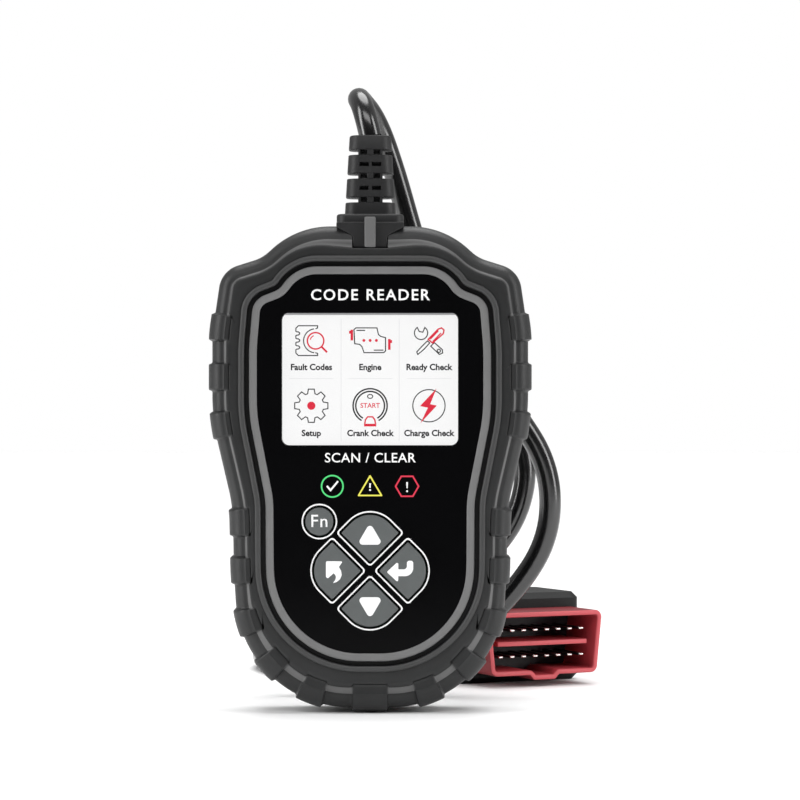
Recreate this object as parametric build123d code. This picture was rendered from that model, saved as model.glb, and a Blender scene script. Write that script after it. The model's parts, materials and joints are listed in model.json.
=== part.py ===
from build123d import *
import os
from math import cos, radians, sin, tan

# OBD code reader: a rubber-booted handheld with a 2.4-inch screen and five keys, whose lead ends in a
# 16-pin vehicle diagnostic plug. Millimetres. The reader stands upright: +X right, +Z up, and its face
# looks along -Y. The origin is the middle of its footprint. Depths are measured forwards, so depth d
# lies at y = -d.

# ---- driving dimensions ----
# Half outlines, as corners (x, z, corner radius), from the top round to the bottom.
BOOT_CORNERS = [
    (20.5, 136.0, 24.0),
    (30.2, 127.2, 11.0),
    (41.6, 123.6, 7.5),
    (44.2, 106.0, 40.0),
    (44.2, 82.0, 60.0),
    (38.5, 57.5, 45.0),
    (38.2, 40.0, 60.0),
    (36.0, 1.4, 32.0),
]
TRIM_CORNERS = [
    (20.8, 124.6, 11.5),
    (25.2, 118.2, 5.0),
    (32.6, 115.3, 5.5),
    (33.7, 102.0, 60.0),
    (33.7, 83.0, 50.0),
    (29.1, 59.5, 30.0),
    (29.0, 42.0, 60.0),
    (28.2, 14.7, 26.0),
]

BOOT_WALL = 3.0  # rubber round the sides of the case
SHOULDER = 11.3  # depth of the boot's rounded sides
SHOULDER_ROUND = 3.7
FLANGE_INSET = 3.9
FLANGE = 12.5
LIP = 13.0
LIP_WIDTH = 1.7
GROOVE = 1.3  # gap round the trim
RIB_PROUD = 1.0
RIB_SHOULDER = 12.3
RIB_ROUND = 4.2
SIDE_RIB_HEIGHT = 7.5
SIDE_RIBS = [107.8, 93.8, 80.2, 53.2, 39.8]  # heights of the ribs' middles
CORNER_RIB_ANGLES = [25, 45.5, 66]  # round the bottom curve, up from level
CORNER_CENTRE = (0, 42.0)
CORNER_RIB_WIDTH = 7.6
FOOT_RIB_WIDTH = 10.0

CASE_DEPTH = 10.8
CASE_WALL = 2.0
INSIDE = CASE_DEPTH - CASE_WALL
BACK_PAD = 13.0
TRIM_WIDTH = 2.2
TRIM_FACE = 12.2
PANEL_FACE = 12.0
LENS_FACE = 11.8
FIT = 0.05  # side play of a piece that drops into a seat

SCREEN_WIDTH = 49.0
SCREEN_HEIGHT = 36.8
SCREEN_Z = 93.2
SCREEN_CORNER = 2.0
MODULE_WIDTH = 60.0
MODULE_HEIGHT = 42.6
MODULE_BACK = 5.0
MODULE_FACE = 10.0
BACKLIGHT_FACE = 8.4
SHEET = 0.4

BOARD_BACK = 3.0
BOARD_FACE = 4.6
BOARD_GAP = 1.2
BOARD_NOTCH = (20.0, 118.0)  # width of the notch under the cable neck, and where it starts

PAD_Z = 39.9  # middle of the four fan-shaped keys
FN_PLACE = (-14.1, 53.6)
FN_RADIUS = 3.9
FAN_NEAR = 1.05  # from the middle to each fan's near corner, before rounding
FAN_HALF = 9.5
FAN_CORNER = 1.0
FAN_ROUND = 8.3
KEY_INSET = 1.1
KEY_FACE = 12.8
KEY_ROUND = 0.55
KEY_GAP = 0.3
SKIRT_GROW = 0.8
SKIRT_BACK = 7.5
SKIRT_FACE = 8.5
STEM_BACK = 7.0
STEM_RADIUS = 2.2
FAN_MIDDLE = 8.6  # how far out the switch sits under a fan key
SWITCH_SIZE = 6.0
SWITCH_FACE = 6.2
SWITCH_FLOOR = 4.7
PLUNGER_RADIUS = 1.6
PLUNGER_BACK = 5.5
PLUNGER_PLAY = 0.3
MAT_Z = 40.6
MAT_WIDTH = 40.0
MAT_HEIGHT = 37.4

LED_Z = 63.4
LED_SPACING = 10.4
LED_RADIUS = 1.5
LED_FACE = 7.4

CASE_SCREWS = [(33.4, 117.6), (27.0, 27.0)]
BOARD_SCREWS = [(22.0, 120.0), (17.0, 16.8)]
BOSS_RADIUS = 3.0
CASE_THREAD = 1.1
BOARD_THREAD = 0.9
HEAD_RADIUS = 2.2
HEAD_SEAT = 3.0
HEAD_HEIGHT = 1.5

NECK_WIDTH = 9.6
NECK_DEPTH = 8.0
NECK_FLOOR = 129.7
NECK_SILL = 129.9
NECK_FRONT = 11.4
RIDGE_WIDTH = 3.1
RIDGE_FRONT = 12.4
RIDGE_TOP = 138.4
COLLAR_WIDTH = 18.8
COLLAR_DEPTH = 19.0
COLLAR_BASE = 136.1
COLLAR_TOP = 139.4
TIP_Z = 161.8
BASE_WIDTH = 14.4
TIP_WIDTH = 11.7
RELIEF_DEPTH = 11.4
RELIEF_TIP_DEPTH = 10.0
SLIT = 1.5
SLITS = [143.6, 150.3, 157.0]
SLIT_CORE = 3.4
CORD_DIAMETER = 6.4

# ---- plug, in its own frame: mouth at y = 0 and the lead at +y ----
PLUG_YAW = 26.0
PLUG_PLACE = (52.6, 66.0, 13.2)
MOUTH_WIDE = 40.4
MOUTH_NARROW = 36.4
MOUTH_TALL = 19.2
MOUTH_CORNER = 2.2
KEY_BUMP = 7.2
KEY_DROP = 1.5
SHROUD_LENGTH = 16.0
SHROUD_WALL = 1.5
SEAT_STEP = 0.3
INSERT_FACE = 18.5
INSERT_SEAT = 22.0
INSERT_TAIL = 27.0
BAR_WIDTH = 31.0
BAR_THICK = 1.4
BAR_FACE = 1.5
PIN_PITCH = 4.0
PIN_ROWS = 4.0
PIN_TIP = 2.2
PIN_TAIL = 30.0
PIN_WIDE = 1.5
PIN_THICK = 0.7
PINS = 8
HOOD_WIDTH = 43.0
HOOD_LENGTH = 38.0
HOOD_TOP = 14.2
HOOD_WALL = 2.2
HOOD_SHOULDER = 26.0
HOOD_REAR_WIDTH = 22.0
RELIEF_LENGTH = 25.0
RELIEF_FAT = 6.4
RELIEF_THIN = 4.6

# ---- the cord's route, exit to plug ----
ROUTE = [
    (0.0, 0.0, 161.8),
    (-1.8, 0.0, 169.8),
    (-4.2, 11.5, 174.8),
    (1.6, 23.0, 168.6),
    (6.8, 26.0, 154.0),
    (11.6, 28.5, 137.0),
    (17.4, 30.0, 118.0),
    (27.0, 31.0, 99.5),
    (42.0, 32.0, 84.5),
    (52.6, 33.3, 67.0),
    (52.4, 34.8, 46.5),
    (41.2, 36.3, 29.5),
    (25.0, 38.0, 15.0),
    (5.5, 39.6, 6.0),
    (-15.0, 41.2, 6.5),
    (-31.0, 42.7, 19.5),
    (-36.0, 43.8, 40.0),
    (-31.5, 44.8, 61.0),
    (-20.0, 45.8, 79.0),
    (-3.0, 46.5, 91.5),
    (17.5, 47.0, 95.5),
    (36.0, 47.0, 87.5),
    (46.8, 47.2, 71.0),
    (44.0, 47.8, 52.5),
    (33.0, 49.5, 39.0),
    (18.0, 55.0, 27.5),
    (2.0, 63.0, 16.5),
    (-13.0, 75.0, 8.5),
    (-25.0, 90.0, 4.5),
    (-33.0, 108.0, 4.0),
    (-37.5, 127.0, 4.0),
    (-34.5, 147.0, 4.6),
    (-20.5, 161.5, 6.5),
    (-0.5, 162.5, 9.5),
    (11.9, 150.0, 12.6),
    (17.97, 137.0, 13.2),
]


# ---- helpers ----
def outline(corners, grow=0.0):
    """A closed left-right symmetric face from half its corners, grown or shrunk all round."""
    right = [(x, z) for x, z, r in corners]
    left = [(-x, z) for x, z in reversed(right)]
    radii = [r for x, z, r in corners]
    with BuildSketch() as face:
        with BuildLine():
            FilletPolyline(*right, *left, radius=radii + radii[::-1], close=True)
        make_face()
    shape = face.sketch
    return offset(shape, grow, kind=Kind.ARC) if grow else shape


def slab(face, back, front):
    """A face drawn in x and z, as a solid from depth back to depth front."""
    return extrude(Plane.XZ.offset(back) * face, front - back)


def block(x, z, width, height, back, front):
    """A plain block centred on (x, z)."""
    return slab(Pos(x, z) * Rectangle(width, height), back, front)


def rod(x, z, radius, back, front):
    """A round rod along the depth."""
    return slab(Pos(x, z) * Circle(radius), back, front)


def both_sides(places):
    return [(side * x, z) for x, z in places for side in (-1, 1)]


def save(name, shape):
    export_step(shape, f"parts/{name}.step")


# ---- boot ----
def boot_blank(grow, shoulder, rounding):
    """The boot's outer shape with rounded sides."""
    body = slab(outline(BOOT_CORNERS, grow), -shoulder, shoulder)
    rims = body.faces().filter_by(Axis.Y).edges()
    return fillet(rims, rounding)


def rib_zones():
    """Blocks that pick out where the grip ribs stand."""
    zones = []
    for z in SIDE_RIBS:
        zones.append(block(-40, z, 30, SIDE_RIB_HEIGHT, -20, 20))
        zones.append(block(40, z, 30, SIDE_RIB_HEIGHT, -20, 20))
    x, z = CORNER_CENTRE
    for angle in CORNER_RIB_ANGLES:
        for turn in (-angle, 180 + angle):
            bar = Pos(45, 0) * Rectangle(45, CORNER_RIB_WIDTH)
            zones.append(slab(Pos(x, z) * Rot(0, 0, turn) * bar, -20, 20))
    zones.append(block(0, 5, FOOT_RIB_WIDTH, 14, -20, 20))
    return zones


def rubber_boot():
    body = boot_blank(0, SHOULDER, SHOULDER_ROUND)
    proud = boot_blank(RIB_PROUD, RIB_SHOULDER, RIB_ROUND)
    core = slab(outline(BOOT_CORNERS, -FLANGE_INSET), -20, 20)
    for zone in rib_zones():
        body += (proud & zone) - core
    flange = slab(outline(BOOT_CORNERS, -FLANGE_INSET), -FLANGE, FLANGE)
    body += flange
    body += slab(outline(TRIM_CORNERS, GROOVE + LIP_WIDTH), 0, LIP)
    body -= slab(outline(TRIM_CORNERS, GROOVE), CASE_DEPTH, 20)
    body -= slab(outline(TRIM_CORNERS), -20, -CASE_DEPTH)
    body -= slab(outline(BOOT_CORNERS, -BOOT_WALL), -CASE_DEPTH, CASE_DEPTH)
    neck = NECK_WIDTH / 2 + 0.5
    body -= block(0, 145, 2 * neck, 2 * (145 - NECK_FLOOR), -20, 20)
    return body


# ---- case ----
def case_half(back, front):
    return slab(outline(BOOT_CORNERS, -BOOT_WALL), back, front)


def case_inside(back, front):
    return slab(outline(BOOT_CORNERS, -BOOT_WALL - CASE_WALL), back, front)


def neck_passage():
    """Where the cable neck runs through the top wall, open at the front and the back above it."""
    width = NECK_WIDTH + 0.2
    passage = block(0, 130, width, 14, -NECK_DEPTH, NECK_DEPTH)
    return passage + block(0, 140, width, 2 * (140 - NECK_FLOOR), -20, 20)


def front_case():
    case = case_half(0, CASE_DEPTH) - case_inside(0, INSIDE)
    for x, z in both_sides(CASE_SCREWS):
        case += rod(x, z, BOSS_RADIUS, 0.2, INSIDE)
        case -= rod(x, z, CASE_THREAD, 0.2, INSIDE - 1)
    for x, z in both_sides(BOARD_SCREWS):
        case += rod(x, z, BOSS_RADIUS - 0.6, BOARD_FACE, INSIDE)
        case -= rod(x, z, BOARD_THREAD, BOARD_FACE, INSIDE - 0.6)
    case -= block(0, SCREEN_Z, MODULE_WIDTH + 0.4, MODULE_HEIGHT + 0.4, 0, MODULE_FACE)
    case -= block(0, SCREEN_Z, SCREEN_WIDTH + 0.8, SCREEN_HEIGHT + 0.8, 0, 20)
    for key in KEYS:
        case -= slab(key_face(key, KEY_GAP + 0.2), INSIDE, 20)
    for x in led_places():
        case -= rod(x, LED_Z, LED_RADIUS + 0.5, INSIDE, 20)
    return case - neck_passage()


def back_case():
    case = case_half(-CASE_DEPTH, 0) - case_inside(-INSIDE, 0)
    pad = slab(outline(TRIM_CORNERS, -FIT), -BACK_PAD, -CASE_DEPTH)
    case += chamfer(pad.faces().sort_by(Axis.Y)[-1].edges(), 0.6)
    for x, z in both_sides(CASE_SCREWS):
        case += rod(x, z, BOSS_RADIUS + 0.3, -INSIDE, 0)
    for x, z in both_sides(CASE_SCREWS):
        case -= rod(x, z, HEAD_RADIUS + 0.3, -20, -HEAD_SEAT)
        case -= rod(x, z, CASE_THREAD + 0.2, -HEAD_SEAT, 0)
    return case - neck_passage()


def case_screws():
    return [
        rod(x, z, HEAD_RADIUS, -HEAD_SEAT - HEAD_HEIGHT, -HEAD_SEAT)
        + rod(x, z, CASE_THREAD, -HEAD_SEAT, 6.0)
        - block(x, z, 2.6, 0.5, -20, -HEAD_SEAT - 0.8)
        - block(x, z, 0.5, 2.6, -20, -HEAD_SEAT - 0.8)
        for x, z in both_sides(CASE_SCREWS)
    ]


def bezel_trim():
    ring = slab(outline(TRIM_CORNERS), CASE_DEPTH, TRIM_FACE)
    ring = chamfer(ring.faces().sort_by(Axis.Y)[0].edges(), 0.3)
    return ring - slab(outline(TRIM_CORNERS, -TRIM_WIDTH), 0, 20)


def front_panel():
    panel = slab(outline(TRIM_CORNERS, -TRIM_WIDTH - FIT), CASE_DEPTH, PANEL_FACE)
    screen = RectangleRounded(SCREEN_WIDTH + 2 * FIT, SCREEN_HEIGHT + 2 * FIT, SCREEN_CORNER)
    panel -= slab(Pos(0, SCREEN_Z) * screen, 0, 20)
    for key in KEYS:
        panel -= slab(key_face(key, KEY_GAP), 0, 20)
    return panel


# ---- screen ----
def display_lens():
    face = RectangleRounded(SCREEN_WIDTH, SCREEN_HEIGHT, SCREEN_CORNER)
    return slab(Pos(0, SCREEN_Z) * face, CASE_DEPTH, LENS_FACE)


def lcd_frame():
    tray = block(0, SCREEN_Z, MODULE_WIDTH, MODULE_HEIGHT, MODULE_BACK, MODULE_FACE)
    inner = (MODULE_WIDTH - 2 * SHEET, MODULE_HEIGHT - 2 * SHEET)
    return tray - block(0, SCREEN_Z, *inner, MODULE_BACK + SHEET, MODULE_FACE)


def lcd_layer(back, front):
    return block(0, SCREEN_Z, MODULE_WIDTH - 1, MODULE_HEIGHT - 1, back, front)


def lcd_flex():
    """Ribbon from the module's lower edge back to the board."""
    low = SCREEN_Z - MODULE_HEIGHT / 2
    ribbon = block(0, low - 1.6, 18, 3.2, MODULE_BACK + 1.0, MODULE_BACK + 1.2)
    ribbon += block(0, low - 3.1, 18, 0.2, BOARD_FACE, MODULE_BACK + 1.2)
    return ribbon


# ---- keys ----
def fan_face(turn):
    """The printed ring round one fan-shaped key: a square on its corner, its outer corner well rounded."""
    middle = FAN_NEAR + FAN_HALF
    corners = [(0, FAN_NEAR), (FAN_HALF, middle), (0, middle + FAN_HALF), (-FAN_HALF, middle)]
    radii = [FAN_CORNER, FAN_CORNER, FAN_ROUND, FAN_CORNER]
    with BuildSketch() as face:
        with BuildLine():
            FilletPolyline(*corners, radius=radii, close=True)
        make_face()
    return Pos(0, PAD_Z) * Rot(0, 0, turn) * face.sketch


KEYS = {"up_key": 0, "back_key": 90, "down_key": 180, "enter_key": 270, "fn_key": None}


def key_face(key, grow=0.0):
    if KEYS[key] is None:
        return Pos(*FN_PLACE) * Circle(FN_RADIUS + grow)
    return offset(fan_face(KEYS[key]), grow - KEY_INSET, kind=Kind.ARC)


def key_middle(key):
    """Where the key's switch sits."""
    if KEYS[key] is None:
        return FN_PLACE
    turn = radians(KEYS[key])
    return (-FAN_MIDDLE * sin(turn), PAD_Z + FAN_MIDDLE * cos(turn))


def key_cap(key):
    cap = slab(key_face(key), SKIRT_FACE, KEY_FACE)
    cap = fillet(cap.faces().sort_by(Axis.Y)[0].edges(), KEY_ROUND)
    skirt = slab(key_face(key, SKIRT_GROW), SKIRT_BACK, SKIRT_FACE)
    stem = rod(*key_middle(key), STEM_RADIUS, STEM_BACK, SKIRT_BACK)
    return cap + skirt + stem


def switch_plunger(key):
    return rod(*key_middle(key), PLUNGER_RADIUS, PLUNGER_BACK, STEM_BACK)


def key_switches():
    """Tactile switch bodies under the keys."""
    bodies = []
    for key in KEYS:
        x, z = key_middle(key)
        body = block(x, z, SWITCH_SIZE, SWITCH_SIZE, BOARD_FACE, SWITCH_FACE)
        bodies.append(body - rod(x, z, PLUNGER_RADIUS + PLUNGER_PLAY, SWITCH_FLOOR, 20))
    return bodies


def keypad_mat():
    """Silicone web behind the case wall, with an opening round each key's skirt."""
    mat = block(0, MAT_Z, MAT_WIDTH, MAT_HEIGHT, SKIRT_BACK + 0.4, INSIDE)
    for key in KEYS:
        mat -= slab(key_face(key, SKIRT_GROW + KEY_GAP + 0.1), 0, 20)
    return mat


# ---- electronics ----
def led_places():
    return [-LED_SPACING, 0.0, LED_SPACING]


def status_led(x):
    base = block(x, LED_Z, 3.6, 3.6, BOARD_FACE, BOARD_FACE + 0.8)
    dome = rod(x, LED_Z, LED_RADIUS, BOARD_FACE + 0.8, LED_FACE)
    return base + fillet(dome.faces().sort_by(Axis.Y)[0].edges(), LED_RADIUS - 0.2)


def led_shroud():
    """Block that keeps each lamp's light behind its own symbol."""
    shroud = block(0, LED_Z, 2 * LED_SPACING + 7, 6.4, BOARD_FACE, INSIDE)
    for x in led_places():
        shroud -= block(x, LED_Z, 4.2, 4.2, 0, 20)
    return shroud


def main_board():
    board = slab(outline(BOOT_CORNERS, -BOOT_WALL - CASE_WALL - BOARD_GAP), BOARD_BACK, BOARD_FACE)
    width, start = BOARD_NOTCH
    board -= block(0, start + 10, width, 20, 0, 20)
    for x, z in both_sides(CASE_SCREWS):
        board -= rod(x, z, BOSS_RADIUS + 0.5, 0, 20)
    for x, z in both_sides(BOARD_SCREWS):
        board -= rod(x, z, BOARD_THREAD + 0.2, 0, 20)
    return board


def board_screws():
    return [
        rod(x, z, BOARD_THREAD + 0.9, BOARD_BACK - 1.2, BOARD_BACK)
        + rod(x, z, BOARD_THREAD, BOARD_BACK, INSIDE - 1.2)
        for x, z in both_sides(BOARD_SCREWS)
    ]


def chip(x, z, width, height, thick):
    """A chip on the back of the board, with its legs as one low step each side."""
    body = block(x, z, width, height, BOARD_BACK - thick, BOARD_BACK - 0.1)
    legs = block(x, z, width + 2.0, height - 0.8, BOARD_BACK - 0.4, BOARD_BACK)
    return body + legs


def capacitors():
    return [rod(x, 104, 2.5, BOARD_BACK - 5.4, BOARD_BACK) for x in (-26, -19, -12)]


def board_header():
    box = block(0, 108, 13, 6, BOARD_BACK - 6, BOARD_BACK)
    return box - block(0, 109.2, 11, 4.6, BOARD_BACK - 5, BOARD_BACK - 1)


def wire_housing():
    return block(0, 110, 10.8, 5.6, BOARD_BACK - 4.9, BOARD_BACK - 1.1)


def lead_wires():
    """Four wires from the sheath's end down to the header."""
    wires = []
    for number in range(4):
        x = -3.0 + 2.0 * number
        path = Polyline((x * 0.5, 0, 121.5), (x, 0, 117.5), (x, 0, 112.8))
        section = Plane(path @ 0, z_dir=path % 0) * Circle(0.6)
        wires.append(sweep(section, path, transition=Transition.ROUND))
    return wires


# ---- cable neck and strain relief ----
def sheath_end():
    """The lead's outer sheath inside the neck."""
    return Pos(0, 0, 121.5) * extrude(Circle(CORD_DIAMETER / 2), TIP_Z - 121.5)


def strain_relief():
    neck = block(0, (123 + COLLAR_BASE) / 2, NECK_WIDTH, COLLAR_BASE - 123, -NECK_DEPTH, NECK_DEPTH)
    neck += block(0, 126.4, NECK_WIDTH + 5, 2.4, -NECK_DEPTH, NECK_DEPTH)
    throat_height = COLLAR_BASE - NECK_SILL
    neck += block(0, NECK_SILL + throat_height / 2, NECK_WIDTH, throat_height, -NECK_FRONT, NECK_FRONT)
    ridge_height = RIDGE_TOP - NECK_SILL
    neck += block(0, NECK_SILL + ridge_height / 2, RIDGE_WIDTH, ridge_height, -RIDGE_FRONT, RIDGE_FRONT)
    collar = RectangleRounded(COLLAR_WIDTH, COLLAR_DEPTH, 3.0)
    collar = Pos(0, 0, COLLAR_BASE) * extrude(collar, COLLAR_TOP - COLLAR_BASE)
    collar = fillet(collar.faces().sort_by(Axis.Z)[-1].edges(), 0.8)
    low = Pos(0, 0, COLLAR_TOP) * RectangleRounded(BASE_WIDTH, RELIEF_DEPTH, 3.5)
    high = Pos(0, 0, TIP_Z) * RectangleRounded(TIP_WIDTH, RELIEF_TIP_DEPTH, 3.5)
    sleeve = loft([low, high])
    for z in SLITS:
        for side in (-1, 1):
            cut = Box(10, 20, SLIT)
            sleeve -= Pos(side * (SLIT_CORE + 5), 0, z) * cut
    for z in SLITS[:-1]:
        middle = z + (SLITS[1] - SLITS[0]) / 2
        for side in (-1, 1):
            sleeve -= Pos(0, side * (SLIT_CORE + 5), middle) * Box(7.6, 10, SLIT - 0.5)
    return neck + collar + sleeve - Pos(0, 0, 121.5) * extrude(Circle(CORD_DIAMETER / 2), 50)


# ---- cord ----
def route_radii(points):
    """Each corner's radius: 0.45 of its shorter run over the tangent of half its turn."""
    radii = []
    for before, here, after in zip(points, points[1:], points[2:]):
        run_in = Vector(*here) - Vector(*before)
        run_out = Vector(*after) - Vector(*here)
        half_turn = radians(run_in.get_angle(run_out)) / 2
        radii.append(0.45 * min(run_in.length, run_out.length) / tan(half_turn))
    return radii


def cord_lead():
    radii = route_radii(ROUTE)
    print("cord corner radii:", [round(r, 1) for r in radii])
    path = FilletPolyline(*ROUTE, radius=radii)
    section = Plane(path @ 0, z_dir=path % 0) * Circle(CORD_DIAMETER / 2)
    tube = sweep(section, path)
    expected = section.area * path.length
    print(f"cord length {path.length:.1f}, volume {tube.volume:.0f} against {expected:.0f}")
    return tube


# ---- plug ----
def place_plug(shape):
    return Pos(*PLUG_PLACE) * Rot(0, 0, PLUG_YAW) * shape


def mouth_face(inset=0.0):
    """The plug's D-shaped section, wide edge up, with the key bump under its middle."""
    half = MOUTH_TALL / 2
    right = [
        (MOUTH_WIDE / 2, half),
        (MOUTH_NARROW / 2, -half),
        (KEY_BUMP / 2 + KEY_DROP, -half),
        (KEY_BUMP / 2, -half - KEY_DROP),
    ]
    left = [(-x, z) for x, z in reversed(right)]
    radii = [MOUTH_CORNER, MOUTH_CORNER, 0.4, 0.4]
    with BuildSketch() as face:
        with BuildLine():
            FilletPolyline(*right, *left, radius=radii + radii[::-1], close=True)
        make_face()
    return offset(face.sketch, -inset, kind=Kind.ARC) if inset else face.sketch


def along(face, start, end):
    """A plug section drawn in x and z, as a solid between two distances behind the mouth."""
    return slab(face, -end, -start)


def plug_shroud():
    """The tube round the pins; its back end sits inside the hood's mouth."""
    shroud = along(mouth_face(), 0, SHROUD_LENGTH)
    shroud += along(mouth_face(SEAT_STEP), SHROUD_LENGTH, INSERT_SEAT)
    return shroud - along(mouth_face(SHROUD_WALL), 0, INSERT_SEAT)


def plug_divider():
    """The bar that stands between the two rows of pins."""
    return along(Rectangle(BAR_WIDTH, BAR_THICK), BAR_FACE, INSERT_FACE)


def pin_places(row):
    return [((number - (PINS - 1) / 2) * PIN_PITCH, row * PIN_ROWS) for number in range(PINS)]


def pin_face(x, z, grow=0.0):
    return Pos(x, z) * Rectangle(PIN_WIDE + grow, PIN_THICK + grow)


def plug_insert():
    base = along(mouth_face(SHROUD_WALL), INSERT_FACE, INSERT_SEAT)
    base += along(Rectangle(34, 13), INSERT_SEAT, INSERT_TAIL)
    for row in (-1, 1):
        for x, z in pin_places(row):
            base -= along(pin_face(x, z), INSERT_FACE, INSERT_TAIL)
    return base


def pin_row(row):
    pins = []
    for x, z in pin_places(row):
        pin = along(pin_face(x, z), PIN_TIP, PIN_TAIL)
        pins.append(chamfer(pin.faces().sort_by(Axis.Y)[0].edges(), 0.3))
    return pins


def hood_blank(inset):
    """The plug's hood: a tapered block with softened edges."""
    half = HOOD_WIDTH / 2 - inset
    rear = HOOD_REAR_WIDTH / 2 - inset
    start = SHROUD_LENGTH + inset
    end = SHROUD_LENGTH + HOOD_LENGTH - inset
    plan = Polygon(
        (-half, start), (half, start), (half, SHROUD_LENGTH + HOOD_SHOULDER),
        (rear, end), (-rear, end), (-half, SHROUD_LENGTH + HOOD_SHOULDER), align=None,
    )
    low = -PLUG_PLACE[2] + inset
    high = HOOD_TOP - inset
    blank = Pos(0, 0, low) * extrude(plan, high - low)
    if inset:
        return blank
    upright = blank.edges().filter_by(Axis.Z)
    blank = fillet(upright, 3.0)
    rims = blank.faces().filter_by(Axis.Z).edges()
    return chamfer(rims, 1.8)


def plug_hood():
    hood = hood_blank(0) - hood_blank(HOOD_WALL)
    hood -= along(mouth_face(SEAT_STEP), SHROUD_LENGTH - 1, INSERT_SEAT)
    hood -= along(Circle(4.4), SHROUD_LENGTH + HOOD_LENGTH - 5, SHROUD_LENGTH + HOOD_LENGTH + 1)
    return hood


def plug_covers():
    hood = plug_hood()
    posts = [(side * 15.5, SHROUD_LENGTH + 20) for side in (-1, 1)]
    low = -PLUG_PLACE[2]
    lower = hood & Pos(0, 40, -25) * Box(80, 100, 50)
    upper = hood & Pos(0, 40, 25) * Box(80, 100, 50)
    screws = []
    for x, y in posts:
        lower += Pos(x, y, low + 0.5) * extrude(Circle(3.0), -low - 0.5)
        lower -= Pos(x, y, low) * extrude(Circle(2.5), 3.0)
        lower -= Pos(x, y, low) * extrude(Circle(1.4), 30)
        upper += Pos(x, y, 0) * extrude(Circle(3.0), HOOD_TOP - 1)
        upper -= Pos(x, y, 0) * extrude(Circle(1.1), 10)
        screw = Pos(x, y, low + 1.2) * extrude(Circle(2.1), 1.8)
        screw += Pos(x, y, low + 3.0) * extrude(Circle(1.1), 18)
        screws.append(screw - Pos(x, y, low + 1.2) * Box(2.6, 0.5, 1.2))
    return lower, upper, screws


def plug_strain_relief():
    """Tapered sleeve with ring grooves, held by a flange inside the hood."""
    rear = SHROUD_LENGTH + HOOD_LENGTH
    turned = Plane(origin=(0, rear, 0), z_dir=(0, 1, 0))
    sleeve = turned * Cone(
        RELIEF_FAT, RELIEF_THIN, RELIEF_LENGTH, align=(Align.CENTER, Align.CENTER, Align.MIN)
    )
    for number in range(5):
        middle = turned.offset(3.4 + 4.2 * number)
        sleeve -= middle * (Cylinder(10, 1.4) - Cylinder(CORD_DIAMETER / 2 + 0.9, 1.4))
    sleeve += turned.offset(-HOOD_WALL - 1.6) * Cylinder(
        4.4, HOOD_WALL + 1.6, align=(Align.CENTER, Align.CENTER, Align.MIN)
    )
    sleeve += turned.offset(-HOOD_WALL - 1.8) * Cylinder(
        6.0, 1.6, align=(Align.CENTER, Align.CENTER, Align.MIN)
    )
    return sleeve


# ---- build ----
save("rubber_boot", rubber_boot())
save("front_case", front_case())
save("back_case", back_case())
save("case_screws", Compound(case_screws()))
save("bezel_trim", bezel_trim())
save("front_panel", front_panel())
save("display_lens", display_lens())
save("lcd_frame", lcd_frame())
save("lcd_backlight", lcd_layer(MODULE_BACK + SHEET, BACKLIGHT_FACE))
save("lcd_glass", lcd_layer(BACKLIGHT_FACE, MODULE_FACE))
save("lcd_foam", lcd_layer(BOARD_FACE, MODULE_BACK))
save("lcd_flex", lcd_flex())
save("keypad_mat", keypad_mat())
save("key_switches", Compound(key_switches()))
for key in KEYS:
    save(key, key_cap(key))
    save(key.replace("key", "plunger"), switch_plunger(key))
save("main_board", main_board())
save("board_screws", Compound(board_screws()))
for colour, x in zip(("green", "yellow", "red"), led_places()):
    save(f"led_{colour}", status_led(x))
save("led_shroud", led_shroud())
save("microcontroller", chip(0, 80, 14, 14, 1.6))
save("can_transceiver", chip(-20, 92, 5, 4, 1.5))
save("line_driver", chip(-20, 84, 5, 4, 1.5))
save("crystal", fillet(block(18, 82, 11, 4.6, BOARD_BACK - 3.4, BOARD_BACK).edges().filter_by(Axis.Y), 2.0))
save("capacitors", Compound(capacitors()))
save("board_header", board_header())
save("wire_housing", wire_housing())
save("lead_wires", Compound(lead_wires()))
save("sheath_end", sheath_end())
save("strain_relief", strain_relief())
save("cord_lead", cord_lead())
save("plug_shroud", place_plug(plug_shroud()))
save("plug_divider", place_plug(plug_divider()))
save("plug_insert", place_plug(plug_insert()))
save("upper_pins", place_plug(Compound(pin_row(1))))
save("lower_pins", place_plug(Compound(pin_row(-1))))
lower_cover, upper_cover, cover_screws = plug_covers()
save("plug_cover_lower", place_plug(lower_cover))
save("plug_cover_upper", place_plug(upper_cover))
save("plug_screws", place_plug(Compound(cover_screws)))
save("plug_strain_relief", place_plug(plug_strain_relief()))
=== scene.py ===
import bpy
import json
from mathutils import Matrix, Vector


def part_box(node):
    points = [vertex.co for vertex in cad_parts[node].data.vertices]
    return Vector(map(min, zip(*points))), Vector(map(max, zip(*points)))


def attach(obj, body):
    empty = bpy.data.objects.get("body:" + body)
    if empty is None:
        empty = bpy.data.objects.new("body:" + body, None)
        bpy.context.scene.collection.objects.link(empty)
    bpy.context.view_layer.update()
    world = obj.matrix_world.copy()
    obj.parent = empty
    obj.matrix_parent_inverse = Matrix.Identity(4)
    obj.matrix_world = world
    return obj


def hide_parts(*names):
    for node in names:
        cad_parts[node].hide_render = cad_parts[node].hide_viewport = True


bl_info = {
    "name": "Code reader builder",
    "version": (1, 0, 0),
    "blender": (4, 5, 0),
    "location": "View3D > Sidebar > Code reader",
    "description": "Finishes a rubber-booted vehicle code reader round its packed frame",
    "category": "Object",
}

import json
import math

import bmesh
import bpy
from bpy.props import (
    FloatProperty,
    FloatVectorProperty,
    PointerProperty,
)
from mathutils import Matrix, Vector

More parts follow.
